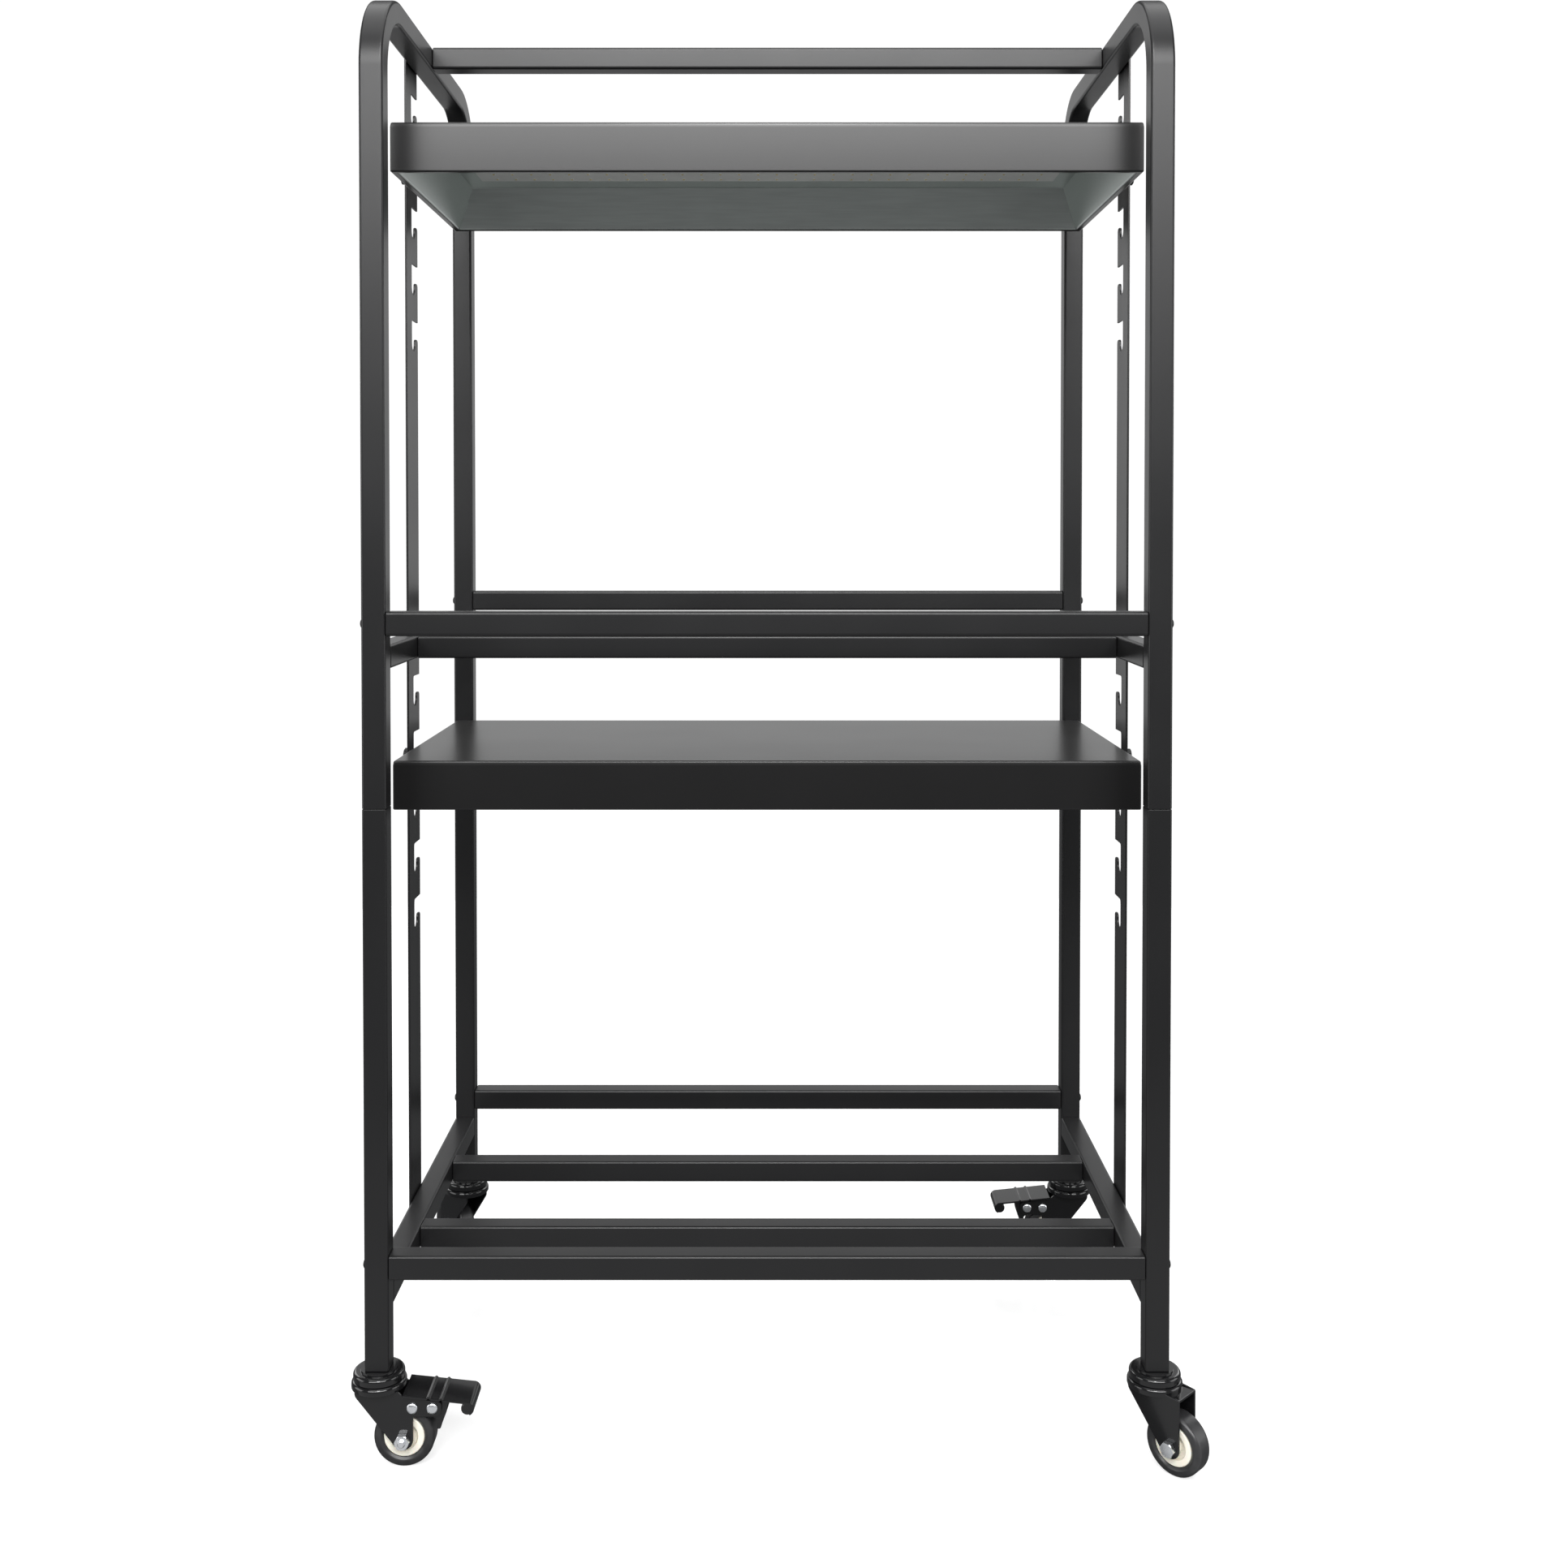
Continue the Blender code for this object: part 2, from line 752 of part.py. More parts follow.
def hood_reflector(name, pivot):
    """Splayed reflector, with a flange that rests on the housing's bottom flange."""
    bottom = reflector_inset + reflector_sheet - hood_size_z / 2
    top = hood_size_z / 2 - reflector_inset
    size = (reflector_width, reflector_depth, top - bottom)
    part_name = name + "_reflector"
    mesh = tray_mesh(part_name, size, reflector_splay, reflector_flange, 1)
    centre = (0, 0, (top + bottom) / 2 - pivot_rise)
    reflector = add_part(part_name, mesh, reflector_finish, centre, pivot)
    give_wall(reflector, reflector_sheet)


def hood_electrics(name, pivot):
    """Light board under the reflector's top, and the driver behind its rear wall."""
    hood_top = hood_size_z / 2 - pivot_rise
    board_z = hood_top - hood_sheet - 2 * piece_gap - reflector_sheet - board_thickness / 2
    board = box_mesh(name + "_light_board", (board_length, board_width, board_thickness))
    add_part(name + "_light_board", board, board_white, (0, 0, board_z), pivot)
    driver_y = hood_depth / 2 - hood_sheet - piece_gap - driver_depth / 2
    driver_z = hood_top - hood_sheet - piece_gap - driver_height / 2
    driver = box_mesh(name + "_driver", (driver_length, driver_depth, driver_height))
    add_part(name + "_driver", driver, driver_shell, (0, driver_y, driver_z), pivot)


def power_inlet(name, pivot):
    """One moulding: a plate, the frame of the rocker switch and the socket beside it."""
    face = hood_depth / 2 + piece_gap
    left = switch_offset - switch_length / 2 - bezel_margin
    right = socket_offset + jack_body_radius + bezel_margin
    middle = (left + right) / 2
    centre = (middle, face + bezel_thickness / 2, control_z)
    plate = box_mesh(name + "_power_inlet", (right - left, bezel_thickness, bezel_height))
    inlet = add_part(name + "_power_inlet", plate, black_plastic, centre, pivot)
    root = bezel_thickness / 2
    body = box_mesh(name + "_switch_body", (switch_length, switch_depth + root, switch_height),
                    (0, (root - switch_depth) / 2, 0))
    switch_place = (switch_offset, face, control_z)
    boolean(inlet, add_helper(name + "_switch_body", body, switch_place, pivot), "UNION")
    barrel = rods_mesh(name + "_socket_barrel", [(0, (root - jack_body_depth) / 2, 0)],
                       jack_body_radius, jack_body_depth + root, screw_sides, along_y())
    socket_place = (socket_offset, face, control_z)
    boolean(inlet, add_helper(name + "_socket_barrel", barrel, socket_place, pivot), "UNION")
    reach = rocker_radius + rocker_clearance
    rocker_y = bezel_thickness - rocker_sink
    pocket_size = (2 * reach, reach + rocker_sink + cut_overrun, rocker_height + 2 * rocker_clearance)
    pocket_middle = rocker_y + (rocker_sink + cut_overrun - reach) / 2
    pocket = box_mesh(name + "_switch_pocket", pocket_size, (0, pocket_middle, 0))
    boolean(inlet, add_helper(name + "_switch_pocket", pocket, switch_place, pivot))
    bore = turned_mesh(name + "_socket_bore", [
        (0, bezel_thickness + cut_overrun),
        (jack_bore_radius, bezel_thickness + cut_overrun),
        (jack_bore_radius, -jack_bore_depth),
        (jack_pin_radius, -jack_bore_depth),
        (jack_pin_radius, -jack_pin_setback),
        (0, -jack_pin_setback),
    ], screw_sides)
    bore.transform(along_y())
    boolean(inlet, add_helper(name + "_socket_bore", bore, socket_place, pivot))


def switch_rocker(name, pivot):
    """A rocker that rocks about an upright pin in the switch frame."""
    end_angle = math.asin(rocker_end_rise / rocker_radius)
    outline = arc((0, 0), rocker_radius, math.pi - end_angle, math.tau + end_angle, rocker_steps)
    outline.append((0, rocker_end_rise - rocker_dip))
    rocker = outline_mesh(name + "_switch_rocker", [outline], rocker_height)
    place = (switch_offset, hood_depth / 2 + piece_gap + bezel_thickness - rocker_sink, control_z)
    rocker_pivot = add_pivot(name + "_rocker_pivot", place, rocker_lean, pivot)
    add_part(name + "_switch_rocker", rocker, black_plastic, parent=rocker_pivot)


def hood_pivot_screws(name, pivot):
    """On each side a knob outside the strip, its shoulder in the pocket, and the nut inside."""
    shoulder_end = hood_width / 2 + piece_gap
    nut_outer = hood_width / 2 - hood_sheet - piece_gap
    nut_inner = nut_outer - nut_thickness
    thread_end = shoulder_end - hood_sheet - thread_length
    knob_outer = knob_inner_x + knob_thickness
    for side, direction in sides:
        screw = turned_mesh(name + "_pivot_screw_" + side, [
            (0, knob_outer),
            (knob_radius - knob_rounding, knob_outer),
            (knob_radius, knob_outer - knob_rounding),
            (knob_radius, knob_inner_x),
            (shoulder_radius, knob_inner_x),
            (shoulder_radius, shoulder_end),
            (thread_radius, shoulder_end),
            (thread_radius, nut_outer),
            (nut_radius, nut_outer),
            (nut_radius, nut_inner),
            (thread_radius, nut_inner),
            (thread_radius, thread_end),
            (0, thread_end),
        ], screw_sides)
        screw.transform(along_x(direction))
        add_part(name + "_pivot_screw_" + side, screw, black_powder, parent=pivot)


def hood(name, height):
    pivot = add_pivot(name + "_pivot", (0, 0, height + pivot_rise))
    hood_housing(name, pivot)
    hood_reflector(name, pivot)
    hood_electrics(name, pivot)
    power_inlet(name, pivot)
    switch_rocker(name, pivot)
    hood_pivot_screws(name, pivot)


# Casters

def caster_stem(name, x, y):
    """Fixed half of a caster: king pin, upper ring, seat, and the expander inside the leg."""
    pin_end = crown_bottom - piece_gap
    expander_bottom = leg_bottom + stem_neck
    stem = turned_mesh(name + "_stem", [
        (0, expander_bottom + expander_length / 2),
        (stem_radius, expander_bottom + expander_length / 2),
        (stem_radius, seat_top),
        (seat_radius, seat_top),
        (seat_radius, ring_top),
        (ring_radius - ring_rounding, ring_top),
        (ring_radius, ring_top - ring_rounding),
        (ring_radius, ring_bottom),
        (king_pin_radius, ring_bottom),
        (king_pin_radius, pin_end),
        (king_pin_head_radius, pin_end),
        (king_pin_head_radius, pin_end - king_pin_head_height),
        (0, pin_end - king_pin_head_height),
    ], stem_sides)
    part = add_part(name + "_stem", stem, black_gloss, (x, y, 0))
    bm = bmesh.new()
    rim = square_ring(bm, spigot_side, tube_corner_radius, (0, 0, expander_bottom))
    bmesh.ops.contextual_create(bm, geom=rim)
    top = bmesh.ops.extrude_face_region(bm, geom=bm.faces[:])["geom"]
    bmesh.ops.translate(bm, vec=(0, 0, expander_length), verts=verts_in(top))
    expander = mesh_from(bm, name + "_expander")
    boolean(part, add_helper(name + "_expander", expander, (x, y, 0)), "UNION")


def fork_outline(braked):
    """Side view of a fork plate: from the crown down round the axle, and up the front."""
    top = crown_bottom + fork_weld
    back_z = crown_bottom - fork_back_drop
    eye = (caster_trail, wheel_radius)
    reach = math.hypot(eye[0] + fork_back, eye[1] - back_z)
    bearing = math.atan2(eye[1] - back_z, eye[0] + fork_back)
    start = bearing - math.asin(fork_eye_radius / reach) - math.radians(90)
    front = caster_trail + fork_eye_radius
    points = [(-fork_back, top), (-fork_back, back_z)]
    points += arc(eye, fork_eye_radius, start, 0, fork_eye_steps)
    if braked:
        points += [
            (front, rivet_z - cheek_margin),
            (far_rivet_x + cheek_margin / 2, rivet_z - cheek_margin),
            (far_rivet_x + cheek_margin, rivet_z - cheek_margin / 2),
            (far_rivet_x + cheek_margin, rivet_z + cheek_top_margin),
            (crown_radius, rivet_z + cheek_shoulder_rise),
            (fork_back, crown_bottom),
            (fork_back, top),
        ]
    else:
        points += [(front, crown_bottom - fork_back_drop), (fork_back, crown_bottom), (fork_back, top)]
    return points


def fork(name, pivot, braked):
    crown_bore = king_pin_radius + piece_gap
    part = turned_part(name + "_fork", [
        (crown_bore, crown_top),
        (crown_radius - crown_rounding, crown_top),
        (crown_radius, crown_top - crown_rounding),
        (crown_radius, crown_bottom),
        (crown_bore, crown_bottom),
    ], crown_sides, closed=True)
    part.data.materials.append(black_gloss)
    part.parent = pivot
    stand.objects.link(part)
    plate = outline_mesh(name + "_fork_plate", [fork_outline(braked)], fork_plate_thickness)
    plate.transform(upright)
    for side, direction in sides:
        y = direction * (fork_inner_y + fork_plate_thickness / 2)
        helper = add_helper(name + "_fork_plate_" + side, plate, (0, y, 0), pivot)
        boolean(part, helper, "UNION")
    through = 2 * (fork_outer_y + cut_overrun)
    axle_bore = rods_mesh(name + "_axle_bore", [(caster_trail, 0, wheel_radius)],
                          axle_radius + piece_gap, through, axle_sides, along_y())
    boolean(part, add_helper(name + "_axle_bore", axle_bore, parent=pivot))
    if braked:
        rivet = rivet_mesh(name + "_near_rivet")
        near_place = (near_rivet_x, 0, rivet_z)
        boolean(part, add_helper(name + "_near_rivet", rivet, near_place, pivot), "UNION")
        rivet_bore = rods_mesh(name + "_rivet_bore", [(far_rivet_x, 0, rivet_z)],
                               rivet_radius + piece_gap, through, axle_sides, along_y())
        boolean(part, add_helper(name + "_rivet_bore", rivet_bore, parent=pivot))


def rivet_mesh(name):
    """A rivet across the fork, with a domed head outside each cheek."""
    head_y = fork_outer_y + piece_gap
    crown_y = head_y + rivet_head_height
    shoulder_y = head_y + rivet_head_height * head_crown_share
    shoulder_radius_here = rivet_head_radius * head_shoulder_share
    rivet = turned_mesh(name, [
        (0, crown_y),
        (shoulder_radius_here, shoulder_y),
        (rivet_head_radius, head_y),
        (rivet_radius, head_y),
        (rivet_radius, -head_y),
        (rivet_head_radius, -head_y),
        (shoulder_radius_here, -shoulder_y),
        (0, -crown_y),
    ], axle_sides)
    rivet.transform(along_y())
    return rivet


def wheel(name, pivot):
    """Tyre and hub, turned about the axle."""
    axle = add_pivot(name + "_wheel_pivot", (caster_trail, 0, wheel_radius), parent=pivot)
    half = tyre_width / 2
    tyre = turned_mesh(name + "_tyre", [
        (tyre_bore_radius, half - tyre_shoulder / 2),
        (wheel_radius - tyre_shoulder, half),
        (wheel_radius, half - tyre_shoulder),
        (wheel_radius, tyre_shoulder - half),
        (wheel_radius - tyre_shoulder, -half),
        (tyre_bore_radius, tyre_shoulder / 2 - half),
    ], tyre_sides, closed=True)
    tyre.transform(along_y())
    add_part(name + "_tyre", tyre, tyre_rubber, parent=axle)
    rim = hub_rim_width / 2
    web = hub_web_thickness / 2
    boss = hub_boss_width / 2
    rim_radius = tyre_bore_radius - piece_gap
    bore = axle_radius + piece_gap
    hub = turned_mesh(name + "_hub", [
        (bore, boss), (hub_boss_radius, boss), (hub_boss_radius, web),
        (hub_rim_inner_radius, web), (hub_rim_inner_radius, rim),
        (rim_radius, rim - piece_gap), (rim_radius, piece_gap - rim),
        (hub_rim_inner_radius, -rim), (hub_rim_inner_radius, -web),
        (hub_boss_radius, -web), (hub_boss_radius, -boss), (bore, -boss),
    ], hub_sides, closed=True)
    hub.transform(along_y())
    add_part(name + "_hub", hub, cream_nylon, parent=axle)


def axle(name, pivot, braked):
    """The axle bolt with its hexagon head, and the nut on its other end."""
    head_y = fork_outer_y + piece_gap
    turn = along_y(1 if braked else -1)
    place = (caster_trail, 0, wheel_radius)
    head = rods_mesh(name + "_axle", [turn @ Vector((0, 0, head_y + axle_head_thickness / 2))],
                     axle_hex_radius, axle_head_thickness, axle_hex_sides, turn)
    part = add_part(name + "_axle", head, zinc, place, pivot)
    nut = rods_mesh(name + "_axle_nut", [turn @ Vector((0, 0, -head_y - axle_nut_thickness / 2))],
                    axle_hex_radius, axle_nut_thickness, axle_hex_sides, turn)
    bolt_end = head_y + axle_nut_thickness + axle_end_length
    shank_length = head_y + bolt_end + axle_head_thickness / 2
    shank_middle = turn @ Vector((0, 0, shank_length / 2 - bolt_end))
    shank = rods_mesh(name + "_axle_shank", [shank_middle], axle_radius, shank_length, axle_sides, turn)
    boolean(part, add_helper(name + "_axle_shank", shank, place, pivot), "UNION")
    boolean(part, add_helper(name + "_axle_nut", nut, place, pivot), "UNION")


def pedal_height(x):
    """Height of the pedal's middle surface over the far rivet, x from that rivet."""
    return pedal_rise - x * math.tan(pedal_slope)


def pedal_outline():
    """Side view of the pedal: a sheet with two ridges and a tip rolled downwards."""
    start = crown_radius + pedal_crown_gap - far_rivet_x
    end = pedal_reach - pedal_tip_radius - far_rivet_x
    upper = [(start, pedal_height(start))]
    for share in ridge_place_shares:
        x = start + (end - start) * share
        near = x - ridge_width / 2
        far = x + ridge_width / 2
        upper += [(near, pedal_height(near)), (x, pedal_height(x) + ridge_height), (far, pedal_height(far))]
    lower = [(x, z - pedal_thickness) for x, z in upper]
    centre = (end, pedal_height(end) - pedal_tip_radius)
    inner_radius = pedal_tip_radius - pedal_thickness
    outer = arc(centre, pedal_tip_radius, math.pi / 2, -pedal_tip_turn, pedal_tip_steps)
    inner = arc(centre, inner_radius, math.pi / 2, -pedal_tip_turn, pedal_tip_steps)
    return upper + outer + inner[::-1] + lower[::-1]


def shoe_face():
    """X of the brake shoe's face, from the far rivet, clear of the tread by the shoe gap."""
    below_axle = rivet_rise - shoe_drop
    return math.sqrt((wheel_radius + shoe_gap) ** 2 - below_axle ** 2) - far_rivet_reach


def brake_pedal(name, pivot):
    """Pedal plate with two ridges and a rolled tip, its arms and the shoe at the tread."""
    rivet = add_pivot(name + "_pedal_pivot", (far_rivet_x, 0, rivet_z), parent=pivot)
    plate = outline_mesh(name + "_brake_pedal", [pedal_outline()], pedal_width)
    plate.transform(upright)
    part = add_part(name + "_brake_pedal", plate, black_gloss, parent=rivet)
    face = shoe_face()
    rear = face + shoe_thickness
    weld = pedal_thickness / 2
    arm = outline_mesh(name + "_pedal_arm", [[
        (-arm_back, pedal_height(-arm_back) - weld),
        (-arm_back * arm_neck_share, -cheek_margin * arm_waist_share),
        (face, shoe_height - shoe_drop),
        (face, -shoe_drop),
        (rear, -shoe_drop),
        (rear + arm_waist, -shoe_drop / 2),
        (arm_front, pedal_height(arm_front) - weld),
    ]], arm_thickness)
    arm.transform(upright)
    arm_y = fork_inner_y - piece_gap - arm_thickness / 2
    for side, direction in sides:
        helper = add_helper(name + "_pedal_arm_" + side, arm, (0, direction * arm_y, 0), rivet)
        boolean(part, helper, "UNION")
    shoe = box_mesh(name + "_shoe", (shoe_thickness, 2 * arm_y, shoe_height),
                    (face + shoe_thickness / 2, 0, shoe_height / 2 - shoe_drop))
    boolean(part, add_helper(name + "_shoe", shoe, parent=rivet), "UNION")
    pin = rivet_mesh(name + "_far_rivet")
    boolean(part, add_helper(name + "_far_rivet", pin, parent=rivet), "UNION")


def main():
    side_frames()
    fastened_bar("top_cross_bar", 0, top_tube_z, strip_outer_x + piece_gap, False)
    for name, height in shelves:
        shelf(name, height)
    notched_strips()
    for name, height in hoods:
        hood("hood_" + name, height)
    for name, x, y, turn, braked in casters:
        caster_name = "caster_" + name
        caster_stem(caster_name, x * leg_x, y * leg_y)
        pivot = add_pivot(caster_name + "_swivel", (x * leg_x, y * leg_y, 0), turn)
        fork(caster_name, pivot, braked)
        wheel(caster_name, pivot)
        axle(caster_name, pivot, braked)
        if braked:
            brake_pedal(caster_name, pivot)


main()
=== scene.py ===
"""Finished pieces, finishes, light and camera for a plant stand with two grow-light hoods."""

import math

import bmesh
import bpy
from mathutils import Matrix, Vector


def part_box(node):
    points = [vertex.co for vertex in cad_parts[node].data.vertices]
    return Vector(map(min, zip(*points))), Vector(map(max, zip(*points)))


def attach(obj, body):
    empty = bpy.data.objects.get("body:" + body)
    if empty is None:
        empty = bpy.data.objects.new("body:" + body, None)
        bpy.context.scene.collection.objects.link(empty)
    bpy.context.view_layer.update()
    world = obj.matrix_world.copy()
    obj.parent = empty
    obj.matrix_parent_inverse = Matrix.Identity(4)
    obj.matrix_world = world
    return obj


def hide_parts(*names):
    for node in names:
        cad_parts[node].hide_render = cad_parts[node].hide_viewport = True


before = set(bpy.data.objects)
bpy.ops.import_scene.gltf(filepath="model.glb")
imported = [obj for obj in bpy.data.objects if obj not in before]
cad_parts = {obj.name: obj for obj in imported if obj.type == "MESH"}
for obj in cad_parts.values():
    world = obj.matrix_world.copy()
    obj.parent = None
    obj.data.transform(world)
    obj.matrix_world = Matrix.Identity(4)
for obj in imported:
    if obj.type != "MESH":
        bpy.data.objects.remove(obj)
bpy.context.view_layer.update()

bl_info = {
    "name": "Plant Stand With Grow Lights",
    "version": (1, 0, 0),
    "blender": (4, 5, 0),
    "location": "3D View > Sidebar > Plant Stand",
    "description": "Builds a rolling plant stand with two shelves and two height-adjustable light hoods",
    "category": "Object",
}

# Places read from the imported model
LEFT_RIGHT = (("left", -1), ("right", 1))
FRONT_REAR = (("front", -1), ("rear", 1))
LEVELS = ("lower", "upper")

# Clearance between pieces that are held together
GAP = 0.0003


def node_box(node):
    low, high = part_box(node)
    return Vector(low), Vector(high)


def node_middle(node):
    low, high = node_box(node)
    return (low + high) / 2


LEG_LOW, LEG_HIGH = node_box("lower_leg_front_left")
TUBE = LEG_HIGH.x - LEG_LOW.x
LEG_X = -node_middle("lower_leg_front_left").x
LEG_Y = -node_middle("lower_leg_front_left").y
HOOP_LOW, HOOP_HIGH = node_box("hoop_left")
SEAM_Z = HOOP_LOW.z
TOP_Z = HOOP_HIGH.z - TUBE / 2
FRAME_SIDE_X = LEG_X + TUBE / 2
BAR_END_X = LEG_X - TUBE / 2 - GAP
LONG_RAIL_RISE = 0.028
SHELF_Z = {level: node_box(f"shelf_{level}_side_rail_left")[1].z + LONG_RAIL_RISE for level in LEVELS}
SIDE_RAIL_Z = {level: node_middle(f"shelf_{level}_side_rail_left").z for level in LEVELS}
CROSS_BAR_Y = node_middle("shelf_lower_cross_bar_rear").y
PIVOT_Z = {level: node_middle(f"hood_{level}_pivot_screw_left").z for level in LEVELS}
HOOD_BOX = {level: node_box(f"hood_{level}_housing") for level in LEVELS}

# Frame
TUBE_WALL = 0.0015
TUBE_END_EDGE = 0.0006
SPIGOT_REACH = 0.004
BOLT_RISE = 0.0024
PIN_ABOVE_BOLT = 0.0063
FASTENER_SHANK = 0.010

# Side strips and their hanging notches
STRIP_X = FRAME_SIDE_X + GAP
STRIP_OUT_X = STRIP_X + 0.002
NOTCH_COUNT = 5
NOTCH_PITCH = 0.0524
NOTCH_RADIUS = 0.00725
NOTCH_HEIGHT = 0.0280
NOTCH_CORNER = 0.0035
LIP_DEPTH = 0.010
LIP_HEIGHT = 0.0118
HANGING_NOTCH = 3

# Hoods
HOOD_SHEET = 0.001
HOOD_HEM = 0.005
RIM_BAND = 0.0042
RIM_LEAN = 0.0006
HOOD_HOLE_DEPTH = 0.006
REFLECTOR_SHEET = 0.0008
REFLECTOR_FLANGE = 0.004
REFLECTOR_SPLAY = 0.016
EMITTER_SPREAD = (0.94, 0.86)
DRIVER_GROOVE_INSET = 0.012
DRIVER_GROOVE_HALF = 0.0006
CONTROL_DROP = 0.009
SWITCH_X = 0.240
SWITCH_LENGTH = 0.0134
SWITCH_HEIGHT = 0.0086
SOCKET_X = 0.258
SOCKET_RADIUS = 0.0048
INLET_FACE = 0.0014
INLET_BORDER = 0.0018
INLET_HALF_HEIGHT = 0.0061
ROCKER_RADIUS = 0.0055
ROCKER_RISE = 0.0023
ROCKER_HOLLOW = 0.0300
KNOB_RADIUS = 0.0071
KNOB_LENGTH = 0.008
KNOB_PLAY = 0.0005
KNOB_SHOULDER = 0.0045
PIVOT_RADIUS = 0.0028
NUT_HEIGHT = 0.004

# Emitter parts: name, finish, sides, radius, height and drop below the board
EMITTER_PARTS = (
    ("emitter_bases_", "white_board", 4, 0.0021, 0.0008, 0.0003),
    ("emitter_lenses_", "lens", 12, 0.0011, 0.0004, 0.0008),
)

# Casters: name, side, end, turn of the swivel and whether it has a brake
CASTERS = (
    ("front_left", -1, -1, 0.0, True),
    ("front_right", 1, -1, math.radians(-45), False),
    ("rear_right", 1, 1, math.pi, True),
    ("rear_left", -1, 1, math.radians(135), False),
)
BRAKED_CASTERS = [caster for caster in CASTERS if caster[-1]]
TRAIL = 0.022
WHEEL_RADIUS = 0.025
RING_RADIUS = 0.021
RING_HEIGHT = 0.0067
CROWN_LOW = 0.065
CROWN_HIGH = 0.071
CROWN_RADIUS = 0.0225
FORK_IN_Y = 0.0111
FORK_OUT_Y = 0.0131
FORK_BACK_X = -0.0175
FORK_FRONT_X = 0.0175
FORK_EYE_RADIUS = 0.0085
FORK_BORE_LENGTH = 0.032
FREE_FORK_REACH = 0.0303
AXLE_RADIUS = 0.0032
AXLE_HEAD_RADIUS = 0.0064
AXLE_HEAD_HEIGHT = 0.0045
AXLE_NUT_HEIGHT = 0.005
THREAD_TURNS = 8
THREAD_PITCH = 0.0004
THREAD_ROOT = 0.0029
RIVET_Z = 0.0515
NEAR_RIVET_X = 0.0299
FAR_RIVET_X = 0.0463
RIVET_HOLE_RADIUS = 0.0023
PEDAL_REACH = 0.081
PEDAL_ROLL = 0.0056
PEDAL_WIDTH = 0.034
PEDAL_SHEET = 0.0018
PEDAL_SLOPE = math.radians(6)
PEDAL_RIDGE = 0.0013
ARM_SHEET = 0.002
SHOE_LOW = -0.0185
SHOE_HEIGHT = 0.008
SHOE_CLEARANCE = 0.0036


# Settings that a user would change

class PlantStandSettings(bpy.types.PropertyGroup):
    tube_rounding: bpy.props.FloatProperty(
        name="Tube Rounding", description="How far the tube's corners are rounded off",
        default=0.0026, min=0.0005, max=0.006, subtype="DISTANCE", unit="LENGTH")
    bend_radius: bpy.props.FloatProperty(
        name="Bend Radius", description="Radius of the side frames' bends, at the middle of the tube",
        default=0.060, min=0.03, max=0.12, subtype="DISTANCE", unit="LENGTH")
    bolt_head_radius: bpy.props.FloatProperty(
        name="Bolt Head Radius", description="Radius of the domed bolt heads on the frame",
        default=0.004, min=0.002, max=0.008, subtype="DISTANCE", unit="LENGTH")
    light_columns: bpy.props.IntProperty(
        name="Light Columns", description="Light emitters along each board", default=30, min=2, max=80)
    light_rows: bpy.props.IntProperty(
        name="Light Rows", description="Light emitters across each board", default=7, min=1, max=20)
    knob_ribs: bpy.props.IntProperty(
        name="Knob Ribs", description="Grip ribs round each knob", default=18, min=6, max=48)
    frame_colour: bpy.props.FloatVectorProperty(
        name="Frame Coat", description="Powder coat of the tubes and strips",
        default=(0.009, 0.009, 0.0095), min=0, max=1, size=3, subtype="COLOR")
    gloss_colour: bpy.props.FloatVectorProperty(
        name="Caster Paint", description="Gloss paint of the casters' metal parts",
        default=(0.006, 0.006, 0.0065), min=0, max=1, size=3, subtype="COLOR")
    hood_colour: bpy.props.FloatVectorProperty(
        name="Hood Paint", description="Satin paint of the light hoods",
        default=(0.007, 0.0068, 0.007), min=0, max=1, size=3, subtype="COLOR")
    reflector_colour: bpy.props.FloatVectorProperty(
        name="Reflector", description="Satin aluminium inside the hoods",
        default=(0.57, 0.61, 0.59), min=0, max=1, size=3, subtype="COLOR")
    zinc_colour: bpy.props.FloatVectorProperty(
        name="Plating", description="Bright plating of axle bolts and rivets",
        default=(0.86, 0.88, 0.91), min=0, max=1, size=3, subtype="COLOR")
    rubber_colour: bpy.props.FloatVectorProperty(
        name="Tyre", description="Rubber of the wheels",
        default=(0.024, 0.024, 0.025), min=0, max=1, size=3, subtype="COLOR")
    nylon_colour: bpy.props.FloatVectorProperty(
        name="Wheel Core", description="Nylon of the wheel cores",
        default=(0.88, 0.84, 0.73), min=0, max=1, size=3, subtype="COLOR")
    plastic_colour: bpy.props.FloatVectorProperty(
        name="Plastic", description="Moulded plastic of knobs, sockets and switches",
        default=(0.014, 0.014, 0.015), min=0, max=1, size=3, subtype="COLOR")
    board_colour: bpy.props.FloatVectorProperty(
        name="Light Board", description="White coat of the light boards",
        default=(0.82, 0.83, 0.80), min=0, max=1, size=3, subtype="COLOR")
    floor_colour: bpy.props.FloatVectorProperty(
        name="Floor", description="Plain floor under the stand",
        default=(0.50, 0.50, 0.50), min=0, max=1, size=3, subtype="COLOR")


# Finishes

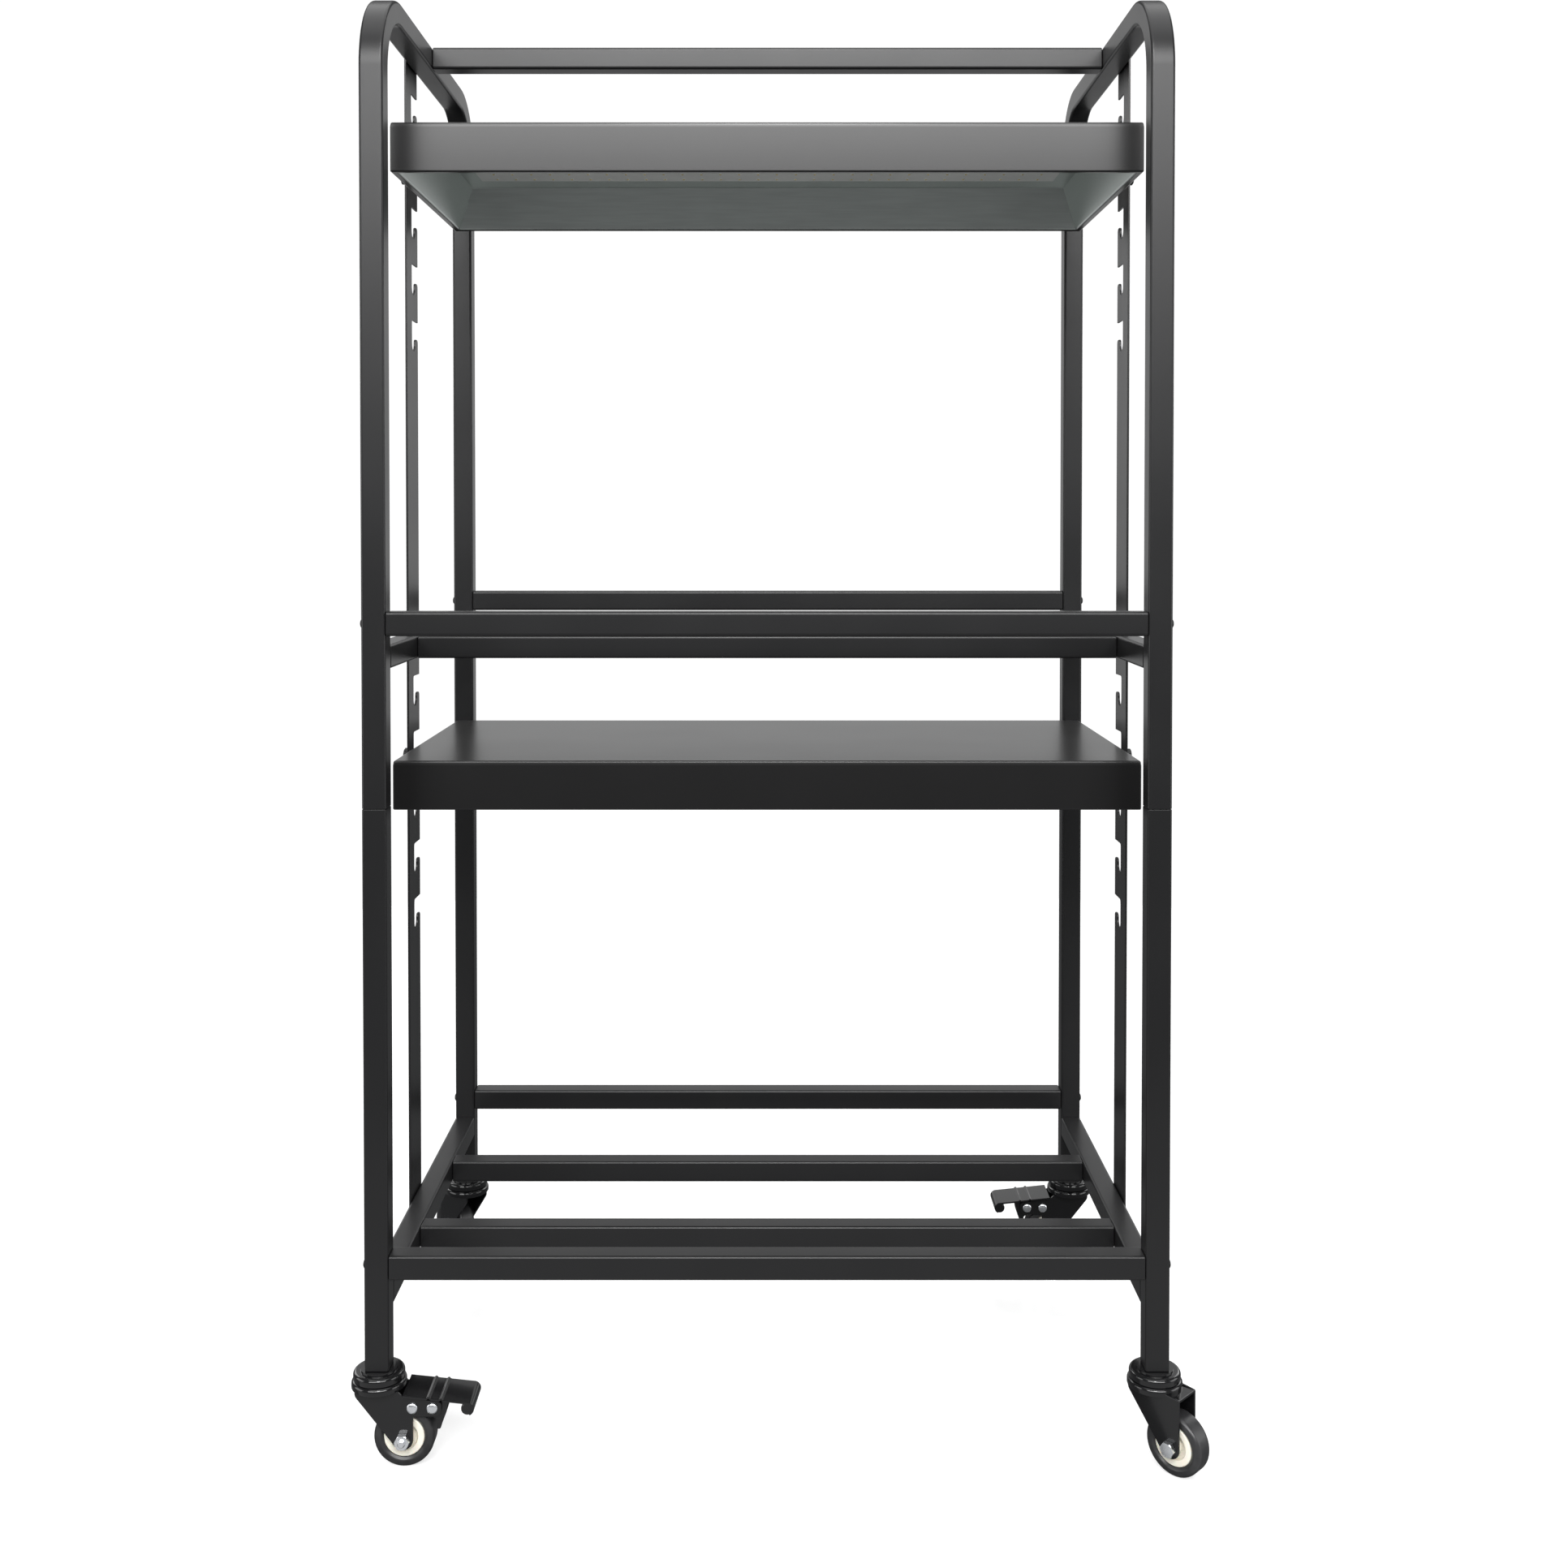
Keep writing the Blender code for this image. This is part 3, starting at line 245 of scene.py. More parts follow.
class Finish:
    """One material on Object coordinates, with its shader ready to be set."""

    def __init__(self, name):
        self.material = bpy.data.materials.new(name)
        self.material.use_nodes = True
        self.tree = self.material.node_tree
        self.shader = self.tree.nodes["Principled BSDF"]
        self.coordinates = self.tree.nodes.new("ShaderNodeTexCoord").outputs["Object"]

    def set(self, **values):
        for name, value in values.items():
            self.shader.inputs[name.replace("_", " ")].default_value = value

    def link(self, start, end):
        self.tree.links.new(start, end)

    def noise(self, scale, detail=2.0, stretch=None):
        source = self.coordinates
        if stretch:
            mapping = self.tree.nodes.new("ShaderNodeMapping")
            mapping.inputs["Scale"].default_value = stretch
            self.link(source, mapping.inputs["Vector"])
            source = mapping.outputs["Vector"]
        node = self.tree.nodes.new("ShaderNodeTexNoise")
        node.inputs["Scale"].default_value = scale
        node.inputs["Detail"].default_value = detail
        self.link(source, node.inputs["Vector"])
        return node.outputs["Fac"]

    def spread(self, source, low, high):
        """The middle half of a noise, eased between two values."""
        node = self.tree.nodes.new("ShaderNodeMapRange")
        node.interpolation_type = "SMOOTHSTEP"
        for name, value in (("From Min", 0.25), ("From Max", 0.75), ("To Min", low), ("To Max", high)):
            node.inputs[name].default_value = value
        self.link(source, node.inputs["Value"])
        return node.outputs["Result"]

    def tint(self, source, colour, dark, light):
        """The base colour, between a darker and a lighter shade of one colour."""
        node = self.tree.nodes.new("ShaderNodeMix")
        node.data_type = "RGBA"
        for socket in node.inputs:
            if socket.identifier == "A_Color":
                socket.default_value = (*shade(colour, dark), 1)
            elif socket.identifier == "B_Color":
                socket.default_value = (*shade(colour, light), 1)
        self.link(self.spread(source, 0, 1), node.inputs["Factor"])
        result = [socket for socket in node.outputs if socket.identifier == "Result_Color"][0]
        self.link(result, self.shader.inputs["Base Color"])

    def bump(self, source, strength, distance):
        node = self.tree.nodes.new("ShaderNodeBump")
        node.inputs["Strength"].default_value = strength
        node.inputs["Distance"].default_value = distance
        self.link(source, node.inputs["Height"])
        self.link(node.outputs["Normal"], self.shader.inputs["Normal"])

    def roughen(self, source, low, high):
        self.link(self.spread(source, low, high), self.shader.inputs["Roughness"])


def shade(colour, factor):
    return tuple(min(1.0, part * factor) for part in colour)


def coated(name, colour, roughness, spread, grain, grain_strength, specular, varnish=0.0):
    """Sprayed coat: soft changes of tone, and the fine skin of a powder coat or paint."""
    finish = Finish(name)
    finish.set(Specular_IOR_Level=specular, Coat_Weight=varnish, Coat_Roughness=0.06)
    finish.tint(finish.noise(14, 3), colour, 0.94, 1.06)
    finish.roughen(finish.noise(9), roughness - spread, roughness + spread)
    finish.bump(finish.noise(grain), grain_strength, 0.0002)
    return finish.material


def satin_aluminium(name, colour):
    finish = Finish(name)
    finish.set(Metallic=1.0)
    grain = finish.noise(420, 3, (0.06, 1, 1))
    finish.tint(grain, colour, 0.96, 1.04)
    finish.roughen(grain, 0.29, 0.35)
    finish.bump(finish.noise(900, 2, (0.08, 1, 1)), 0.04, 0.0001)
    return finish.material


def bright_plating(name, colour):
    finish = Finish(name)
    finish.set(Metallic=1.0)
    finish.tint(finish.noise(260, 3), colour, 0.93, 1.05)
    finish.roughen(finish.noise(500), 0.22, 0.32)
    finish.bump(finish.noise(1500), 0.04, 0.0001)
    return finish.material


def tyre_rubber(name, colour):
    finish = Finish(name)
    finish.set(Specular_IOR_Level=0.5)
    dust = finish.noise(180, 4)
    finish.tint(dust, colour, 0.9, 1.2)
    finish.roughen(dust, 0.30, 0.40)
    finish.bump(finish.noise(2200), 0.10, 0.0001)
    return finish.material


def moulded_nylon(name, colour):
    finish = Finish(name)
    finish.set(Specular_IOR_Level=0.45, Subsurface_Weight=0.08, Subsurface_Scale=0.004)
    flow = finish.noise(120, 3)
    finish.tint(flow, colour, 0.97, 1.03)
    finish.roughen(flow, 0.34, 0.44)
    finish.bump(finish.noise(1400), 0.06, 0.0001)
    return finish.material


def floor_finish(name, colour):
    finish = Finish(name)
    finish.set(Specular_IOR_Level=0.5, Emission_Strength=0.60, Emission_Color=(1, 1, 1, 1))
    cloud = finish.noise(2.5)
    finish.tint(cloud, colour, 0.99, 1.0)
    finish.roughen(cloud, 0.13, 0.15)
    return finish.material


def make_finishes(coat):
    """Every finish. A coat's numbers are roughness, its spread, grain scale, grain strength and shine."""
    return {
        "black_powder_coat": coated("frame_powder_coat", coat.frame_colour, 0.335, 0.02, 1500, 0.07, 0.38),
        "black_gloss_paint": coated("caster_gloss_paint", coat.gloss_colour, 0.15, 0.02, 1100, 0.02, 0.4,
                                    varnish=0.25),
        "hood_paint": coated("hood_satin_paint", coat.hood_colour, 0.28, 0.005, 1700, 0.015, 0.46),
        "reflector_aluminium": satin_aluminium("reflector_satin_aluminium", coat.reflector_colour),
        "zinc_plate": bright_plating("bright_zinc_plating", coat.zinc_colour),
        "tyre_rubber": tyre_rubber("wheel_rubber", coat.rubber_colour),
        "cream_nylon": moulded_nylon("wheel_core_nylon", coat.nylon_colour),
        "black_plastic": coated("moulded_black_plastic", coat.plastic_colour, 0.38, 0.05, 2600, 0.12, 0.45),
        "white_board": coated("board_white_coat", coat.board_colour, 0.42, 0.04, 1200, 0.04, 0.4),
        "driver_shell": coated("driver_case_plastic", (0.74, 0.74, 0.71), 0.46, 0.05, 1800, 0.10, 0.4),
        "lens": coated("light_emitter_resin", (0.86, 0.62, 0.13), 0.22, 0.04, 1500, 0.03, 0.5),
    }


finishes = {}


# Mesh helpers

def softened(points, reach, steps, closed=True):
    """The outline with each corner rounded off; points on a straight run stay as they are."""
    result = []
    count = len(points)
    for i, point in enumerate(points):
        here = Vector(point)
        if not closed and i in (0, count - 1):
            result.append(here)
            continue
        to_last = Vector(points[i - 1]) - here
        to_next = Vector(points[(i + 1) % count]) - here
        if to_last.length < 1e-7 or to_next.length < 1e-7 or to_last.angle(to_next) > math.radians(160):
            result.append(here)
            continue
        cut = min(reach, 0.45 * to_last.length, 0.45 * to_next.length)
        start = here + to_last.normalized() * cut
        end = here + to_next.normalized() * cut
        for k in range(steps + 1):
            t = k / steps
            result.append(start * (1 - t) ** 2 + here * 2 * t * (1 - t) + end * t ** 2)
    return result


def arc(centre, radius, start, end, steps):
    """Points on a circle from one angle to another, both ends among them."""
    return [(centre[0] + radius * math.cos(start + (end - start) * i / steps),
             centre[1] + radius * math.sin(start + (end - start) * i / steps)) for i in range(steps + 1)]


def skinned(rings):
    """A closed solid through rings of equal count, with a face over each end."""
    bm = bmesh.new()
    loops = [[bm.verts.new(point) for point in ring] for ring in rings]
    for near, far in zip(loops, loops[1:]):
        for i in range(len(near)):
            j = (i + 1) % len(near)
            bm.faces.new((near[i], near[j], far[j], far[i]))
    bm.faces.new(loops[0][::-1])
    bm.faces.new(loops[-1])
    bmesh.ops.recalc_face_normals(bm, faces=bm.faces)
    return bm


def square_outline(side, rounding):
    half = side / 2
    return softened([(-half, -half), (half, -half), (half, half), (-half, half)], rounding, 5)


AXES = {
    "x": Matrix(((0, 0, 1, 0), (1, 0, 0, 0), (0, 1, 0, 0), (0, 0, 0, 1))),
    "y": Matrix(((0, 1, 0, 0), (0, 0, 1, 0), (1, 0, 0, 0), (0, 0, 0, 1))),
    "z": Matrix.Identity(4),
}


def along(axis, direction=1):
    """Turns +Z to an axis, either way, without mirroring."""
    if axis == "x":
        return Matrix.Rotation(math.radians(90) * direction, 4, "Y")
    if axis == "y":
        return Matrix.Rotation(math.radians(-90) * direction, 4, "X")
    return Matrix.Identity(4)


def moved(bm, matrix):
    bmesh.ops.transform(bm, matrix=matrix, verts=bm.verts)
    return bm


def square_bar(axis, low, high, centre, side, rounding, edge=0.0008):
    """A square tube between two places along an axis, its end edges eased."""
    rings = []
    for place, inset in ((low, edge), (low + edge * 0.3, edge * 0.3), (low + edge, 0),
                         (high - edge, 0), (high - edge * 0.3, edge * 0.3), (high, edge)):
        share = 1 - 2 * inset / side
        rings.append([(p.x * share, p.y * share, place) for p in square_outline(side, rounding)])
    return moved(skinned(rings), Matrix.Translation(centre) @ AXES[axis])


def rounded_block(low, high, rounding, steps):
    """A block between two corners with every edge rounded."""
    low = Vector(low)
    high = Vector(high)
    bm = bmesh.new()
    bmesh.ops.create_cube(bm, size=1)
    bmesh.ops.scale(bm, vec=high - low, verts=bm.verts)
    bmesh.ops.translate(bm, vec=(low + high) / 2, verts=bm.verts)
    bmesh.ops.bevel(bm, geom=bm.edges[:], offset=rounding, segments=steps, profile=0.5,
                    affect="EDGES", clamp_overlap=True)
    return bm


def turned(profile, matrix=Matrix.Identity(4), steps=64, closed=False):
    """A solid turned about Z from (radius, height) points, then placed."""
    bm = bmesh.new()
    rings = []
    for radius, height in profile:
        if radius < 1e-7:
            rings.append([bm.verts.new((0, 0, height))])
        else:
            rings.append([bm.verts.new((radius * math.cos(math.tau * i / steps),
                                        radius * math.sin(math.tau * i / steps), height))
                          for i in range(steps)])
    pairs = list(zip(rings, rings[1:]))
    if closed:
        pairs.append((rings[-1], rings[0]))
    for near, far in pairs:
        for i in range(steps):
            j = (i + 1) % steps
            corners = [near[i % len(near)], near[j % len(near)], far[j % len(far)], far[i % len(far)]]
            kept = []
            for corner in corners:
                if corner not in kept:
                    kept.append(corner)
            if len(kept) > 2:
                bm.faces.new(kept)
    bmesh.ops.recalc_face_normals(bm, faces=bm.faces)
    return moved(bm, matrix)


def plate(outline, thickness, edge, matrix):
    """A flat sheet cut to an outline in X and Y, thick along Z, its cut edges eased."""
    curve = bpy.data.curves.new("sheet", "CURVE")
    curve.dimensions = "2D"
    curve.fill_mode = "BOTH"
    curve.extrude = thickness / 2 - edge
    curve.bevel_depth = edge
    curve.bevel_resolution = 1
    curve.offset = -edge
    spline = curve.splines.new("POLY")
    spline.points.add(len(outline) - 1)
    for point, place in zip(spline.points, outline):
        point.co.xy = (place[0], place[1])
    spline.use_cyclic_u = True
    shape = bpy.data.objects.new("sheet", curve)
    bpy.context.scene.collection.objects.link(shape)
    graph = bpy.context.evaluated_depsgraph_get()
    mesh = bpy.data.meshes.new_from_object(shape.evaluated_get(graph))
    bpy.data.objects.remove(shape)
    bpy.data.curves.remove(curve)
    bm = bmesh.new()
    bm.from_mesh(mesh)
    bpy.data.meshes.remove(mesh)
    bmesh.ops.remove_doubles(bm, verts=bm.verts, dist=0.00001)
    bmesh.ops.recalc_face_normals(bm, faces=bm.faces)
    return moved(bm, matrix)


def link_mesh(name, source):
    """An object in the scene from a bmesh, or from a mesh as it is."""
    if isinstance(source, bmesh.types.BMesh):
        mesh = bpy.data.meshes.new(name)
        source.to_mesh(mesh)
        source.free()
    else:
        mesh = source
    item = bpy.data.objects.new(name, mesh)
    bpy.context.scene.collection.objects.link(item)
    return item


def boolean(item, bm, operation="DIFFERENCE"):
    """Cut a solid out of the object, or join it on, once its modifiers are applied."""
    helper = link_mesh(item.name + "_" + operation.lower(), bm)
    step = item.modifiers.new(operation.lower(), "BOOLEAN")
    step.operation = operation
    step.solver = "EXACT"
    step.object = helper


def apply_modifiers(item):
    """Turn what the modifiers make into the object's own mesh."""
    helpers = [step.object for step in item.modifiers if step.type == "BOOLEAN"]
    bpy.context.view_layer.update()
    graph = bpy.context.evaluated_depsgraph_get()
    mesh = bpy.data.meshes.new_from_object(
        item.evaluated_get(graph), preserve_all_data_layers=True, depsgraph=graph)
    item.modifiers.clear()
    item.data = mesh
    for helper in helpers:
        bpy.data.objects.remove(helper)


def tidy(item):
    """Merge doubles and turn every face outwards."""
    bm = bmesh.new()
    bm.from_mesh(item.data)
    bmesh.ops.remove_doubles(bm, verts=bm.verts, dist=0.000005)
    bmesh.ops.dissolve_degenerate(bm, edges=bm.edges, dist=0.000002)
    bmesh.ops.recalc_face_normals(bm, faces=bm.faces)
    bm.to_mesh(item.data)
    bm.free()


def finish_piece(item, slot, body, nodes=(), angle=40):
    """Smooth shading, finish, body and the solids that the piece stands for."""
    mesh = item.data
    mesh.materials.clear()
    mesh.materials.append(finishes[slot])
    mesh.shade_smooth()
    mesh.set_sharp_from_angle(angle=math.radians(angle))
    step = item.modifiers.new("even shading", "WEIGHTED_NORMAL")
    step.keep_sharp = True
    apply_modifiers(item)
    item.data.name = item.name
    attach(item, body)
    if nodes:
        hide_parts(*nodes)


def add_piece(name, source, slot, body, nodes, angle=40):
    finish_piece(link_mesh(name, source), slot, body, nodes, angle)


def complete_piece(item, slot, body, nodes, angle=40):
    """Keep what the modifiers make, merge it and finish it."""
    apply_modifiers(item)
    tidy(item)
    finish_piece(item, slot, body, nodes, angle)


# Geometry Nodes trees

class Tree:
    """A Geometry Nodes tree with named inputs, ending in Realize Instances and Set Material."""

    def __init__(self, name, inputs):
        self.tree = bpy.data.node_groups.new(name, "GeometryNodeTree")
        self.identifiers = {}
        face = self.tree.interface
        face.new_socket("Geometry", in_out="INPUT", socket_type="NodeSocketGeometry")
        for label, kind, value in inputs:
            socket = face.new_socket(label, in_out="INPUT", socket_type="NodeSocket" + kind)
            if value is not None:
                socket.default_value = value
            self.identifiers[label] = socket.identifier
        material = face.new_socket("Material", in_out="INPUT", socket_type="NodeSocketMaterial")
        self.identifiers["Material"] = material.identifier
        face.new_socket("Geometry", in_out="OUTPUT", socket_type="NodeSocketGeometry")
        self.source = self.tree.nodes.new("NodeGroupInput")
        self.result = self.tree.nodes.new("NodeGroupOutput")

    def input(self, label):
        return self.source.outputs[label]

    def node(self, kind, settings=None, **values):
        made = self.tree.nodes.new(kind)
        for name, value in (settings or {}).items():
            setattr(made, name, value)
        for name, value in values.items():
            socket = made.inputs[name.replace("_", " ")]
            if isinstance(value, bpy.types.NodeSocket):
                self.tree.links.new(value, socket)
            else:
                socket.default_value = value
        return made

    def link(self, start, end):
        self.tree.links.new(start, end)

    def math(self, operation, first, second=0.0):
        made = self.tree.nodes.new("ShaderNodeMath")
        made.operation = operation
        for socket, value in zip(made.inputs, (first, second)):
            if isinstance(value, bpy.types.NodeSocket):
                self.tree.links.new(value, socket)
            else:
                socket.default_value = value
        return made.outputs[0]

    def end(self, geometry):
        real = self.node("GeometryNodeRealizeInstances", Geometry=geometry)
        paint = self.node("GeometryNodeSetMaterial", Geometry=real.outputs["Geometry"],
                          Material=self.input("Material"))
        self.link(paint.outputs["Geometry"], self.result.inputs["Geometry"])

    def grow(self, item, slot, **values):
        """Run the tree on the object, and keep its result as a plain mesh."""
        step = item.modifiers.new(self.tree.name, "NODES")
        step.node_group = self.tree
        for label, value in values.items():
            step[self.identifiers[label.replace("_", " ")]] = value
        step[self.identifiers["Material"]] = finishes[slot]
        apply_modifiers(item)


def bent_tube_tree():
    """A square tube swept along the object's own edges, with a round bend at each corner."""
    tree = Tree("bent_square_tube", (
        ("Tube Side", "Float", 0.02), ("Tube Rounding", "Float", 0.002), ("Bend Radius", "Float", 0.06)))
    path = tree.node("GeometryNodeMeshToCurve", Mesh=tree.input("Geometry"))
    bends = tree.node("GeometryNodeFilletCurve", {"mode": "POLY"}, Curve=path.outputs["Curve"],
                      Radius=tree.input("Bend Radius"), Count=20, Limit_Radius=True)
    outline = tree.node("GeometryNodeCurvePrimitiveQuadrilateral", Width=tree.input("Tube Side"),
                        Height=tree.input("Tube Side"))
    corners = tree.node("GeometryNodeFilletCurve", {"mode": "POLY"}, Curve=outline.outputs["Curve"],
                        Radius=tree.input("Tube Rounding"), Count=5, Limit_Radius=True)
    tube = tree.node("GeometryNodeCurveToMesh", Curve=bends.outputs["Curve"],
                     Profile_Curve=corners.outputs["Curve"], Fill_Caps=True)
    tree.end(tube.outputs["Mesh"])
    return tree


def domed_fastener_tree():
    """A domed head and its shank at each point, facing along the point's own direction."""
    tree = Tree("domed_fasteners", (
        ("Head Radius", "Float", 0.004), ("Head Height", "Float", 0.0024),
        ("Shank Radius", "Float", 0.0025), ("Shank Length", "Float", 0.01)))
    top = tree.node("ShaderNodeCombineXYZ", Z=tree.input("Head Height"))
    spine = tree.node("GeometryNodeCurvePrimitiveLine", End=top.outputs["Vector"])
    fine = tree.node("GeometryNodeResampleCurve", Curve=spine.outputs["Curve"], Count=9)
    place = tree.node("GeometryNodeSplineParameter")
    fall = tree.math("POWER", place.outputs["Factor"], 2.6)
    width = tree.math("SQRT", tree.math("SUBTRACT", 1.0, tree.math("MULTIPLY", fall, 0.985)))
    ring = tree.node("GeometryNodeCurvePrimitiveCircle", Resolution=28, Radius=1.0)
    head = tree.node("GeometryNodeCurveToMesh", Curve=fine.outputs["Curve"],
                     Profile_Curve=ring.outputs["Curve"], Fill_Caps=True,
                     Scale=tree.math("MULTIPLY", width, tree.input("Head Radius")))
    foot = tree.node("ShaderNodeCombineXYZ", Z=tree.math("MULTIPLY", tree.input("Shank Length"), -1.0))
    rod = tree.node("GeometryNodeCurvePrimitiveLine", End=foot.outputs["Vector"])
    shank = tree.node("GeometryNodeCurveToMesh", Curve=rod.outputs["Curve"],
                      Profile_Curve=ring.outputs["Curve"], Fill_Caps=True,
                      Scale=tree.input("Shank Radius"))
    both = tree.node("GeometryNodeJoinGeometry")
    tree.link(shank.outputs["Mesh"], both.inputs["Geometry"])
    tree.link(head.outputs["Mesh"], both.inputs["Geometry"])
    facing = tree.node("GeometryNodeInputNamedAttribute", {"data_type": "FLOAT_VECTOR"}, Name="facing")
    turn = tree.node("FunctionNodeAlignRotationToVector", {"axis": "Z"}, Vector=facing.outputs["Attribute"])
    points = tree.node("GeometryNodeInstanceOnPoints", Points=tree.input("Geometry"),
                       Instance=both.outputs["Geometry"], Rotation=turn.outputs["Rotation"])
    tree.end(points.outputs["Instances"])
    return tree


def emitter_grid_tree():
    """Rows of small emitters, square with 4 sides or round with more, level about the object's origin."""
    tree = Tree("emitter_rows", (
        ("Columns", "Int", 30), ("Rows", "Int", 6), ("Length", "Float", 0.5), ("Width", "Float", 0.1),
        ("Sides", "Int", 4), ("Radius", "Float", 0.002), ("Height", "Float", 0.001),
        ("Centre", "Vector", None)))
    grid = tree.node("GeometryNodeMeshGrid", Size_X=tree.input("Length"), Size_Y=tree.input("Width"),
                     Vertices_X=tree.input("Columns"), Vertices_Y=tree.input("Rows"))
    body = tree.node("GeometryNodeMeshCylinder", Vertices=tree.input("Sides"), Radius=tree.input("Radius"),
                     Depth=tree.input("Height"))
    points = tree.node("GeometryNodeInstanceOnPoints", Points=grid.outputs["Mesh"],
                       Instance=body.outputs["Mesh"], Rotation=(0.0, 0.0, math.radians(45)))
    placed = tree.node("GeometryNodeTransform", Geometry=points.outputs["Instances"],
                       Translation=tree.input("Centre"))
    tree.end(placed.outputs["Geometry"])
    return tree


def grip_rib_tree():
    """Ribs round the object's Z axis, joined to the object's own mesh."""
    tree = Tree("grip_ribs", (
        ("Count", "Int", 18), ("Ring Radius", "Float", 0.0075), ("Rib Radius", "Float", 0.0006),
        ("Rib Length", "Float", 0.005), ("Height", "Float", 0.0)))
    ring = tree.node("GeometryNodeMeshCircle", Vertices=tree.input("Count"),
                     Radius=tree.input("Ring Radius"))
    rib = tree.node("GeometryNodeMeshCylinder", Vertices=10, Radius=tree.input("Rib Radius"),
                    Depth=tree.input("Rib Length"))
    points = tree.node("GeometryNodeInstanceOnPoints", Points=ring.outputs["Mesh"],
                       Instance=rib.outputs["Mesh"])
    lift = tree.node("ShaderNodeCombineXYZ", Z=tree.input("Height"))
    placed = tree.node("GeometryNodeTransform", Geometry=points.outputs["Instances"],
                       Translation=lift.outputs["Vector"])
    both = tree.node("GeometryNodeJoinGeometry")
    tree.link(placed.outputs["Geometry"], both.inputs["Geometry"])
    tree.link(tree.input("Geometry"), both.inputs["Geometry"])
    tree.end(both.outputs["Geometry"])
    return tree


trees = {}


def add_fasteners(name, places, slot, body, **sizes):
    """Domed fasteners at (place, direction) pairs, each point carrying the direction it faces."""
    mesh = bpy.data.meshes.new(name)
    mesh.from_pydata([place for place, _ in places], [], [])
    facing = mesh.attributes.new("facing", "FLOAT_VECTOR", "POINT")
    for value, (_, direction) in zip(facing.data, places):
        value.vector = direction
    item = link_mesh(name, mesh)
    trees["domed_fasteners"].grow(item, slot, **sizes)
    tidy(item)
    finish_piece(item, slot, body, angle=50)


# Frame

def build_side_frames(settings):
    """Bent side tubes, the lower legs under them and the seam between."""
    for side, direction in LEFT_RIGHT:
        x = direction * LEG_X
        corners = [(x, -LEG_Y, SEAM_Z), (x, -LEG_Y, TOP_Z), (x, LEG_Y, TOP_Z), (x, LEG_Y, SEAM_Z)]
        mesh = bpy.data.meshes.new("path")
        mesh.from_pydata(corners, [(0, 1), (1, 2), (2, 3)], [])
        item = link_mesh("bent_side_tube_" + side, mesh)
        trees["bent_square_tube"].grow(item, "black_powder_coat", Tube_Side=TUBE,
                                       Tube_Rounding=settings.tube_rounding,
                                       Bend_Radius=settings.bend_radius)
        tidy(item)
        ease_ends(item, SEAM_Z)
        finish_piece(item, "black_powder_coat", "frame", ("hoop_" + side,))
        for end, way in FRONT_REAR:
            node = f"lower_leg_{end}_{side}"
            low, _ = node_box(node)
            leg = square_bar("z", low.z, SEAM_Z - GAP, (x, way * LEG_Y, 0), TUBE, settings.tube_rounding,
                             TUBE_END_EDGE)
            item = link_mesh(f"lower_tube_{end}_{side}", leg)
            spigot = square_bar("z", SEAM_Z - SPIGOT_REACH, SEAM_Z + SPIGOT_REACH, (x, way * LEG_Y, 0),
                                TUBE - 2 * TUBE_WALL, settings.tube_rounding)
            boolean(item, spigot, "UNION")
            complete_piece(item, "black_powder_coat", "frame", (node,))


def ease_ends(item, height):
    """Ease the edges round the tube's open ends."""
    bm = bmesh.new()
    bm.from_mesh(item.data)
    rims = [edge for edge in bm.edges
            if all(abs(vert.co.z - height) < 0.00005 for vert in edge.verts)]
    bmesh.ops.bevel(bm, geom=rims, offset=TUBE_END_EDGE, segments=2, profile=0.5, affect="EDGES")
    bmesh.ops.recalc_face_normals(bm, faces=bm.faces)
    bm.to_mesh(item.data)
    bm.free()


def build_shelf_bars(settings):
    """Long rails, cross bars and side rails of both shelves, and the bar across the top."""
    rounding = settings.tube_rounding
    for level in LEVELS:
        rail_z = SHELF_Z[level] - TUBE / 2
        side_z = SIDE_RAIL_Z[level]
        for end, way in FRONT_REAR:
            rail = square_bar("x", -BAR_END_X, BAR_END_X, (0, way * LEG_Y, rail_z), TUBE, rounding)
            add_piece(f"long_rail_{level}_{end}", rail, "black_powder_coat", "frame",
                      (f"shelf_{level}_rail_{end}",))
            bar = square_bar("x", -BAR_END_X, BAR_END_X, (0, way * CROSS_BAR_Y, side_z), TUBE, rounding)
            add_piece(f"under_bar_{level}_{end}", bar, "black_powder_coat", "frame",
                      (f"shelf_{level}_cross_bar_{end}",))
        for side, direction in LEFT_RIGHT:
            reach = LEG_Y - TUBE / 2 - GAP
            rail = square_bar("y", -reach, reach, (direction * LEG_X, 0, side_z), TUBE, rounding)
            add_piece(f"end_rail_{level}_{side}", rail, "black_powder_coat", "frame",
                      (f"shelf_{level}_side_rail_{side}",))
    bar = square_bar("x", -BAR_END_X, BAR_END_X, (0, 0, TOP_Z), TUBE, rounding)
    add_piece("top_tube_bar", bar, "black_powder_coat", "frame", ("top_cross_bar",))


